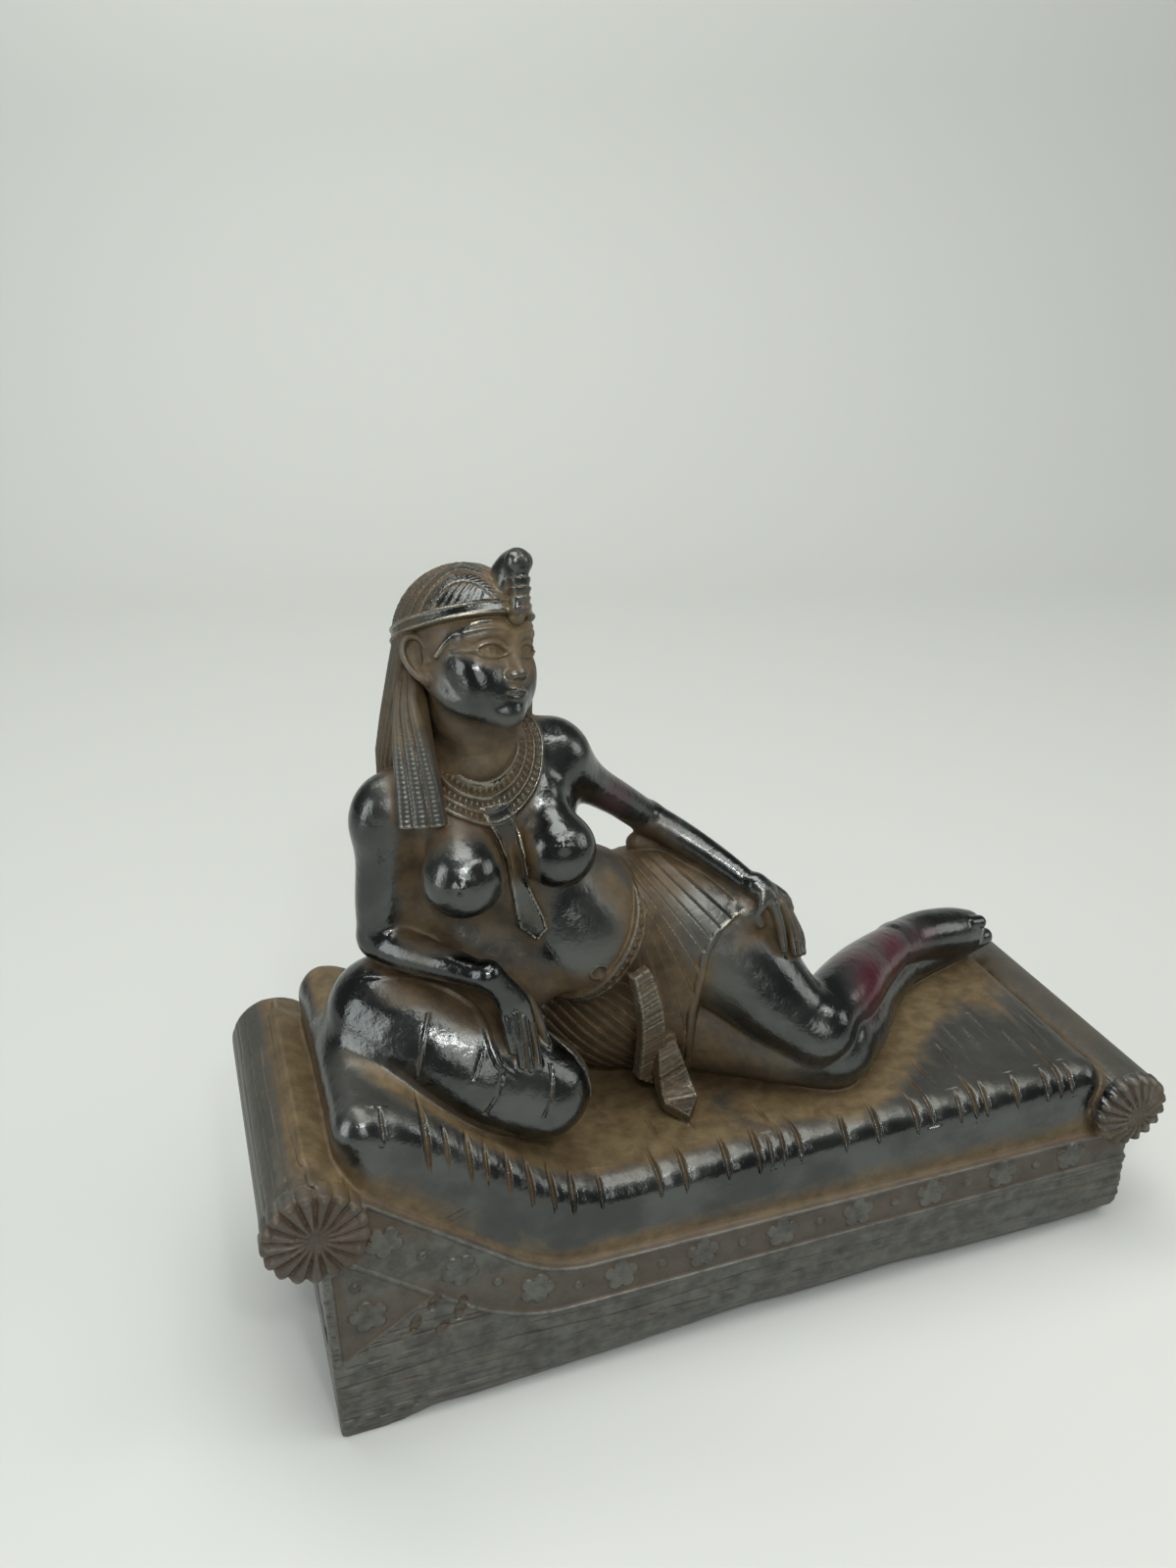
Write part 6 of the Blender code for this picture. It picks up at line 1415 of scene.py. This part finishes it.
def wash(mesh, P, N):
    """Vertex numbers for where the patina was left and where it was wiped away."""
    x, y, z = P[:, 0], P[:, 1], P[:, 2]
    dust = 0.0 * x
    for c, r, h in WASH:
        dust = np.maximum(dust, h * within(P, c, r))
    # the mattress's top round the figure and the bolster
    on_top = step(-3.0, -0.5, z - mattress_top(x)) * step(2.5, 1.0, z - mattress_top(x)) * step(0.5, 0.85, N[:, 2] * lean(mattress_top, x) ** -0.5)
    shin = near_line(P[:, :2], ((100, 16), (118, 12), (128, 16), (140, 27), (152, 38), (182, 46)))
    beside = np.maximum(step(4.5, 8.5, y) * step(112, 96, x + 0.6 * y) * step(12, 24, x + 0.3 * y), step(10, 4, shin))
    beside = np.maximum(beside, step(40, 48, y) * step(120, 90, x))
    dust = np.maximum(dust, 0.95 * beside * on_top)
    # head scroll, its back half, and the hollow beside it
    dust = np.maximum(dust, 0.8 * step(-5, 1, x) * step(9, 5, x) * step(46, 52, z) * step(74, 68, z) * step(-1.0, 0.5, y))
    dust = np.maximum(dust, 0.45 * np.maximum(step(-1.0, -1.6, y), step(66.4, 67.0, y)))
    ledge = (z - crest(x)) * lean(crest, x)
    dust = np.maximum(dust, 0.9 * step(-0.7, 0.2, ledge) * step(3.0, 0.9, ledge) * step(2, 4, x) * step(187, 184, x) * np.maximum(step(4.5, 2.5, y), step(60, 62, y)))
    number(mesh, "dust", dust)
    # wiped high spots stay bare
    bare = 0.0 * x
    for c, r, h in WIPED:
        bare = np.maximum(bare, h * within(P, c, r))
    number(mesh, "bare", bare)
    low = step(0.6, -0.4, ledge)
    ends = np.maximum(step(-1.0, -1.6, y), step(66.4, 67.0, y))
    number(mesh, "carving", np.maximum(low * step(7.0, 2.0, y) * (1 - ends), 0.9 * ends))
    # satin, not glossy: the scrolls, the mattress's top, the hair, the kilt and the sash
    satin = np.maximum(on_top * 0.7, step(4, 0, x) * step(40, 50, z) * step(80, 72, z))
    satin = np.maximum(satin, step(181, 184, x) * step(50, 47, z))
    satin = np.maximum(satin, np.maximum(within(P, (78, 30, 76), (18, 20, 27)), 0.8 * within(P, (32, 32, 138), (9, 14, 24))))
    satin = np.maximum(satin, 0.6 * within(P, (48.5, 18.5, 143.5), (4, 4, 3.5)))
    number(mesh, "satin", satin)
    # where it lies thick and pale
    pale = np.maximum(on_top * beside, step(-0.7, 0.2, ledge) * step(3.0, 0.9, ledge) * step(2, 6, x))
    pale = np.maximum(pale, 0.7 * step(-5, 1, x) * step(9, 5, x) * step(46, 52, z) * step(74, 68, z) * step(-1.0, 0.5, y))
    number(mesh, "pale", np.maximum(pale, 0.7 * within(P, (48, 26, 164), (12, 12, 12))))
    # the sunk ground of the carved band and of the corner panel
    ground = 0.0 * x
    front = (y < 2.4) & (ledge < 0.5) & (N[:, 1] < -0.3) & (x > 0.5)
    if front.any():
        ground[front] = step(-0.15, -0.42, front_relief(x[front], z[front], False)) * step(188.5, 186, x[front])
    number(mesh, "ground", ground)
    # dark red on the upper arm and calf: the red resin's own colour, with a painted glow of light shining through it
    plum = np.zeros_like(x)
    for c, r, h in PLUM:
        plum = np.maximum(plum, h * within(P, c, r))
    number(mesh, "plum", plum)


def near_line(P, line):
    """Distance in plan to a line of points."""
    best = np.full(len(P), 1e3, F)
    for a, b in zip(line[:-1], line[1:]):
        a, b = np.asarray(a, F), np.asarray(b, F)
        t = np.clip(((P - a) @ (b - a)) / ((b - a) @ (b - a)), 0, 1)
        best = np.minimum(best, np.sqrt(((P - a - t[:, None] * (b - a)) ** 2).sum(1)))
    return best


# rows of centre, radii, strength
WASH = (
    ((44, 24, 139), (11, 9, 9), 0.95),
    ((47, 18, 121), (10, 8, 7), 0.55),
    ((44, 15, 103), (15, 9, 5.5), 0.9),
    ((46.5, 18, 113), (4, 6, 8), 0.8),
    ((29, 26, 106), (6.5, 9, 18), 0.95),
    ((36, 20, 124), (8, 7, 5), 0.7),
    ((76, 28, 76), (14, 16, 22), 0.75),
    ((62, 26, 66), (12, 16, 12), 1.0),
    ((69, 26, 97), (5, 9, 9), 0.75),
    ((81, 22, 58), (8, 9, 16), 0.8),
    ((55, 24, 158), (8, 9, 8), 0.85),
    ((47, 20, 160), (9, 8, 5), 0.85),
    ((34, 31, 155), (5, 8, 9), 0.8),
    ((52, 26, 170), (7, 10, 6), 0.4),
    ((36, 34, 168), (10, 12, 9), 0.5),
    ((32, 30, 140), (8, 14, 18), 0.4),
    ((84, 42, 100), (20, 12, 7), 0.85),
    ((27, 20, 91), (16, 9, 4), 0.85),
    ((42, 22, 84), (14, 8, 6), 0.9),
    ((104, 27, 84), (9, 8, 5), 0.8),
    ((96, 24, 60), (20, 15, 9), 0.85),
    ((110, 26, 84), (6, 7, 7), 0.55),
    ((190, 33, 36), (8, 36, 12), 0.45),
    ((128, 27, 54), (14, 10, 4), 0.5),
    ((60, 20, 84), (9, 9, 6), 0.8),
    ((30, 15, 88), (10, 6, 3), 0.7),
    ((112, 26, 58), (14, 12, 5), 0.6),
)
WIPED = (
    ((39.0, 14.5, 115.5), (11, 10, 11), 0.7),
    ((58.5, 17.0, 118.0), (10, 10, 12), 0.75),
    ((62.0, 30, 130), (8, 9, 7), 1.0),
    ((62, 17, 97), (10, 9, 11), 1.0),
    ((48.8, 16, 108), (3.2, 9, 14), 0.8),
    ((47.0, 22, 122), (4.5, 8, 5), 0.7),
    ((107.0, 20, 71), (16, 12, 14), 1.0),
    ((45.5, 20.5, 146.0), (11, 9, 9), 0.5),
    ((40.0, 22.0, 151.0), (5.5, 6, 6), 0.6),
    ((21.5, 32, 112), (6.5, 9, 22), 1.0),
    ((28, 24, 97.0), (8, 8, 3), 0.5),
    ((38, 15, 96), (6, 6, 5), 0.9),
    ((44, 10, 84), (4, 5, 8), 0.5),
    ((33, 12, 72), (17, 9, 9), 0.9),
    ((24, 18, 80), (9, 9, 6), 0.8),
    ((49, 10, 66), (9, 9, 12), 0.9),
    ((132, 32, 66), (26, 18, 8), 0.9),
    ((165, 52, 60), (22, 12, 10), 0.95),
    ((74, 40, 120), (20, 12, 9), 0.95),
    ((97, 35, 102), (12, 10, 5), 0.85),
    ((31, 24, 130), (6, 8, 10), 0.7),
    ((41, 24, 166), (9, 8, 5), 0.6),
    ((56, 16, 168), (5, 7, 10), 1.0),
    ((45, 22, 171), (9, 9, 7), 0.6),
    ((88, 29, 88), (8, 10, 8), 0.5),
    ((95, 1, 42), (100, 3.5, 8), 0.9),
    ((14, 14, 74), (10, 24, 8), 0.75),
)
# where the dark red shows: the resin's own red, with a painted glow of light shining through
PLUM = (
    ((72, 42, 117), (7, 7, 6), 0.6),
    ((131, 28, 65), (9, 12, 6), 1.0),
    ((143, 38, 63.5), (10, 10, 5), 1.0),
    ((153, 45, 60), (10, 10, 4), 0.6),
)


def attribute(nodes, name):
    node = nodes.new("ShaderNodeAttribute")
    node.attribute_name = name
    return node.outputs["Fac"]


class Wires:
    """Short ways to write a node tree."""

    def __init__(self, tree):
        self.t, self.n = tree, tree.nodes

    def _in(self, socket, value):
        if isinstance(value, bpy.types.NodeSocket):
            self.t.links.new(value, socket)
        else:
            socket.default_value = value

    def math(self, op, a, b=0.0, c=0.0, clamp=False):
        m = self.n.new("ShaderNodeMath")
        m.operation, m.use_clamp = op, clamp
        for s, v in zip(m.inputs, (a, b, c)):
            self._in(s, v)
        return m.outputs[0]

    def ramp(self, x, lo, hi, out0=0.0, out1=1.0):
        m = self.n.new("ShaderNodeMapRange")
        m.interpolation_type = "SMOOTHSTEP"
        for key, v in (("Value", x), ("From Min", lo), ("From Max", hi), ("To Min", out0), ("To Max", out1)):
            self._in(m.inputs[key], v)
        return m.outputs["Result"]

    def noise(self, scale, detail=3.0, rough=0.55, at=None, stretch=None):
        n = self.n.new("ShaderNodeTexNoise")
        n.inputs["Scale"].default_value = scale
        n.inputs["Detail"].default_value = detail
        n.inputs["Roughness"].default_value = rough
        v = at
        if v is None:
            v = self.n.new("ShaderNodeTexCoord").outputs["Object"]
        if stretch is not None:
            m = self.n.new("ShaderNodeMapping")
            self._in(m.inputs["Vector"], v)
            m.inputs["Scale"].default_value = stretch
            v = m.outputs[0]
        self.t.links.new(v, n.inputs["Vector"])
        return n.outputs["Fac"]

    def cells(self, scale, feature="F1"):
        n = self.n.new("ShaderNodeTexVoronoi")
        n.feature = feature
        n.inputs["Scale"].default_value = scale
        self.t.links.new(self.n.new("ShaderNodeTexCoord").outputs["Object"], n.inputs["Vector"])
        return n.outputs["Distance"]

    def mix(self, f, a, b):
        m = self.n.new("ShaderNodeMix")
        m.data_type = "RGBA"
        self._in(m.inputs[0], f)
        self._in(m.inputs[6], a)
        self._in(m.inputs[7], b)
        return m.outputs[2]

    def blend(self, f, a, b):
        m = self.n.new("ShaderNodeMix")
        m.data_type = "FLOAT"
        self._in(m.inputs[0], f)
        self._in(m.inputs[2], a)
        self._in(m.inputs[3], b)
        return m.outputs[0]

    def bump(self, height, strength, distance, normal=None):
        b = self.n.new("ShaderNodeBump")
        b.inputs["Strength"].default_value = strength
        b.inputs["Distance"].default_value = distance
        self._in(b.inputs["Height"], height)
        if normal is not None:
            self._in(b.inputs["Normal"], normal)
        return b.outputs[0]


def resin():
    mat = bpy.data.materials.new("patinated_dark_resin")
    mat.use_nodes = True
    tree = mat.node_tree
    shader = tree.nodes["Principled BSDF"]
    w = Wires(tree)
    crease, shut = attribute(tree.nodes, "crease"), attribute(tree.nodes, "shelter")
    dust, edge, bare = (attribute(tree.nodes, n) for n in ("dust", "edge", "bare"))
    carving, ground, plum = (attribute(tree.nodes, n) for n in ("carving", "ground", "plum"))
    satin, pale = attribute(tree.nodes, "satin"), attribute(tree.nodes, "pale")
    broad = w.noise(60.0, 4.0, 0.6)
    mid = w.noise(260.0, 5.0, 0.65)
    fine = w.noise(1200.0, 4.0, 0.6)
    # how much patina was left when the high spots were wiped
    left = w.math("MULTIPLY", crease, 0.75)
    left = w.math("MULTIPLY_ADD", shut, 0.55, left)
    left = w.math("MULTIPLY_ADD", dust, 0.6, left)
    left = w.math("MULTIPLY_ADD", ground, 0.4, left)
    left = w.math("MULTIPLY_ADD", w.math("SUBTRACT", broad, 0.5), 0.5, left)
    left = w.math("MULTIPLY_ADD", w.math("SUBTRACT", mid, 0.5), 0.3, left)
    left = w.math("MULTIPLY_ADD", w.math("SUBTRACT", fine, 0.5), 0.16, left)
    left = w.math("MULTIPLY_ADD", edge, -0.5, left)
    left = w.math("MULTIPLY_ADD", bare, -0.55, left)
    patina = w.ramp(left, -0.02, 0.66)
    ochre = w.mix(w.ramp(mid, 0.3, 0.7), (0.040, 0.025, 0.010, 1), (0.080, 0.051, 0.021, 1))
    thick = w.mix(w.ramp(mid, 0.3, 0.7), (0.090, 0.060, 0.026, 1), (0.155, 0.112, 0.054, 1))
    ochre = w.mix(w.math("MULTIPLY_ADD", pale, 0.8, w.math("MULTIPLY", w.ramp(broad, 0.45, 0.75), 0.5), clamp=True), ochre, thick)
    ochre = w.mix(w.math("MULTIPLY", w.math("MAXIMUM", ground, carving), 0.75), ochre, (0.060, 0.044, 0.031, 1))
    black = w.mix(w.ramp(broad, 0.35, 0.65), (0.070, 0.074, 0.073, 1), (0.110, 0.116, 0.112, 1))
    black = w.mix(w.math("MULTIPLY", satin, 0.8), black, (0.092, 0.088, 0.074, 1))
    # dark red: the resin's own red, with a painted glow of light shining through
    black = w.mix(plum, black, (0.060, 0.007, 0.016, 1))
    # pale grey on sharp edges: rubbed wear, and a painted highlight along the edges
    worn_and_highlight = w.ramp(edge, 0.22, 0.75)
    black = w.mix(w.math("MULTIPLY", worn_and_highlight, 0.7), black, (0.30, 0.28, 0.22, 1))
    grey = w.mix(w.ramp(mid, 0.3, 0.7), (0.060, 0.058, 0.050, 1), (0.135, 0.137, 0.122, 1))
    base = w.mix(w.math("MULTIPLY", carving, 0.85), black, grey)
    # paler grey on the carving's ridges: rubbed wear, and a painted highlight
    ridge_wear_and_highlight = w.math("MULTIPLY", w.ramp(edge, 0.03, 0.30), carving)
    base = w.mix(w.math("MULTIPLY", ridge_wear_and_highlight, 0.12), base, (0.20, 0.20, 0.175, 1))
    colour = w.mix(w.math("MULTIPLY", patina, 0.95), base, ochre)
    tree.links.new(colour, shader.inputs["Base Color"])
    bright = w.math("SUBTRACT", 1.0, patina, clamp=True)
    bright = w.math("MULTIPLY", bright, w.blend(plum, 1.0, 0.3))
    bright = w.math("MULTIPLY", bright, w.blend(w.math("MAXIMUM", carving, satin), 1.0, 0.6))
    tree.links.new(bright, shader.inputs["Metallic"])
    gloss = w.blend(w.ramp(broad, 0.3, 0.75), 0.15, 0.28)
    gloss = w.blend(w.math("MAXIMUM", carving, satin), gloss, 0.42)
    rough = w.blend(patina, gloss, 0.55)
    tree.links.new(rough, shader.inputs["Roughness"])
    shader.inputs["IOR"].default_value = 1.45
    pits = w.ramp(w.cells(700.0), 0.0, 0.2)
    ripple = w.noise(480.0, 2.0, 0.5)
    height = w.math("MULTIPLY_ADD", fine, 0.2, w.math("MULTIPLY", ripple, 0.8))
    normal = w.bump(mid, 0.22, 0.0007)
    normal = w.bump(height, 0.36, 0.0004, normal)
    normal = w.bump(pits, 0.15, 0.0002, normal)
    tree.links.new(normal, shader.inputs["Normal"])
    return mat


def plain(name, colour, rough):
    mat = bpy.data.materials.new(name)
    mat.use_nodes = True
    shader = mat.node_tree.nodes["Principled BSDF"]
    shader.inputs["Base Color"].default_value = (*colour, 1)
    shader.inputs["Roughness"].default_value = rough
    return mat


def light(name, at, to, size, power, colour=(1, 1, 1)):
    data = bpy.data.lights.new(name, "AREA")
    data.shape = "RECTANGLE" if isinstance(size, tuple) else "DISK"
    if isinstance(size, tuple):
        data.size, data.size_y = size
    else:
        data.size = size
    data.energy, data.color = power, colour
    obj = bpy.data.objects.new(name, data)
    obj.location = at
    obj.rotation_euler = (Vector(to) - Vector(at)).to_track_quat("-Z", "Y").to_euler()
    bpy.context.scene.collection.objects.link(obj)


def camera():
    yaw, pitch, roll = 0.31364, 0.42975, -0.01971
    forward = np.array([math.sin(yaw) * math.cos(pitch), math.cos(yaw) * math.cos(pitch), -math.sin(pitch)])
    right = np.array([math.cos(yaw), -math.sin(yaw), 0.0])
    up = np.cross(right, forward)
    r = math.cos(roll) * right + math.sin(roll) * up
    u = -math.sin(roll) * right + math.cos(roll) * up
    at = (np.array([-7.287, -194.267, 233.383]) - ORIGIN) * 0.001
    data = bpy.data.cameras.new("camera")
    data.sensor_fit = "VERTICAL"
    data.sensor_height = 24.0
    data.sensor_width = 36.0
    data.lens = 1327.26 / 1600 * 24
    data.clip_start = 0.01
    obj = bpy.data.objects.new("camera", data)
    obj.matrix_world = Matrix([[r[i], u[i], -forward[i], at[i]] for i in range(3)] + [[0, 0, 0, 1]])
    bpy.context.scene.collection.objects.link(obj)
    bpy.context.scene.camera = obj


def backdrop():
    """One pale sheet: the floor, swept up behind the piece."""
    flat, radius, high, half = 0.55, 0.3, 0.5, 1.6
    path = [(-1.2, 0.0), (flat, 0.0)]
    for i in range(1, 25):
        a = i / 24 * math.pi / 2
        path.append((flat + radius * math.sin(a), radius * (1 - math.cos(a))))
    path.append((flat + radius, high))
    points = [(x, y, z) for y, z in path for x in (-half, half)]
    faces = [(2 * i, 2 * i + 1, 2 * i + 3, 2 * i + 2) for i in range(len(path) - 1)]
    mesh = bpy.data.meshes.new("backdrop")
    mesh.from_pydata(points, [], faces)
    mesh.shade_smooth()
    mesh.materials.append(plain("pale_paper", (0.55, 0.569, 0.547), 0.7))
    obj = bpy.data.objects.new("backdrop", mesh)
    obj.rotation_euler.z = -0.31
    obj.location.z = -0.00005
    bpy.context.scene.collection.objects.link(obj)


def main():
    finish = resin()
    for name, foot, top, pitch, most in BANDS:
        obj = bpy.data.objects.new(name, casting(name, foot, top, pitch, most))
        bpy.context.scene.collection.objects.link(obj)
        obj.data.materials.append(finish)
        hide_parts("reclining_queen_statue")
        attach(obj, "root")
    backdrop()

    world = bpy.data.worlds.new("studio")
    world.use_nodes = True
    back = world.node_tree.nodes["Background"]
    back.inputs["Color"].default_value = (0.95, 1.0, 0.97, 1)
    back.inputs["Strength"].default_value = 0.15
    bpy.context.scene.world = world
    middle = (0, 0, 0.07)
    light("strip", (0.25, -0.40, 0.80), middle, (0.75, 0.14), 2.1, (1.0, 1.0, 0.97))
    light("top", (0.0, -0.02, 1.1), middle, 0.8, 6.9, (1.0, 1.0, 0.97))
    light("front", (-0.1, -1.0, 0.55), middle, 0.6, 1.7, (1.0, 1.0, 0.97))
    light("fill", (0.95, -0.3, 0.45), middle, 0.5, 1.4, (1.0, 1.0, 0.97))
    light("window", (-0.9, -0.15, 0.35), middle, (0.35, 0.7), 2.4, (0.96, 0.99, 1.0))
    light("sweep", (-0.25, 0.4, 0.9), (-0.05, 0.85, 0.3), 0.5, 3.3, (1.0, 1.0, 0.97))
    for k, at in enumerate(((-0.14, -0.30, 0.38), (-0.05, -0.32, 0.39))):
        light("lamp_%d" % k, at, middle, 0.022, 0.26)
    camera()
    bpy.context.scene.view_settings.view_transform = "Standard"


main()
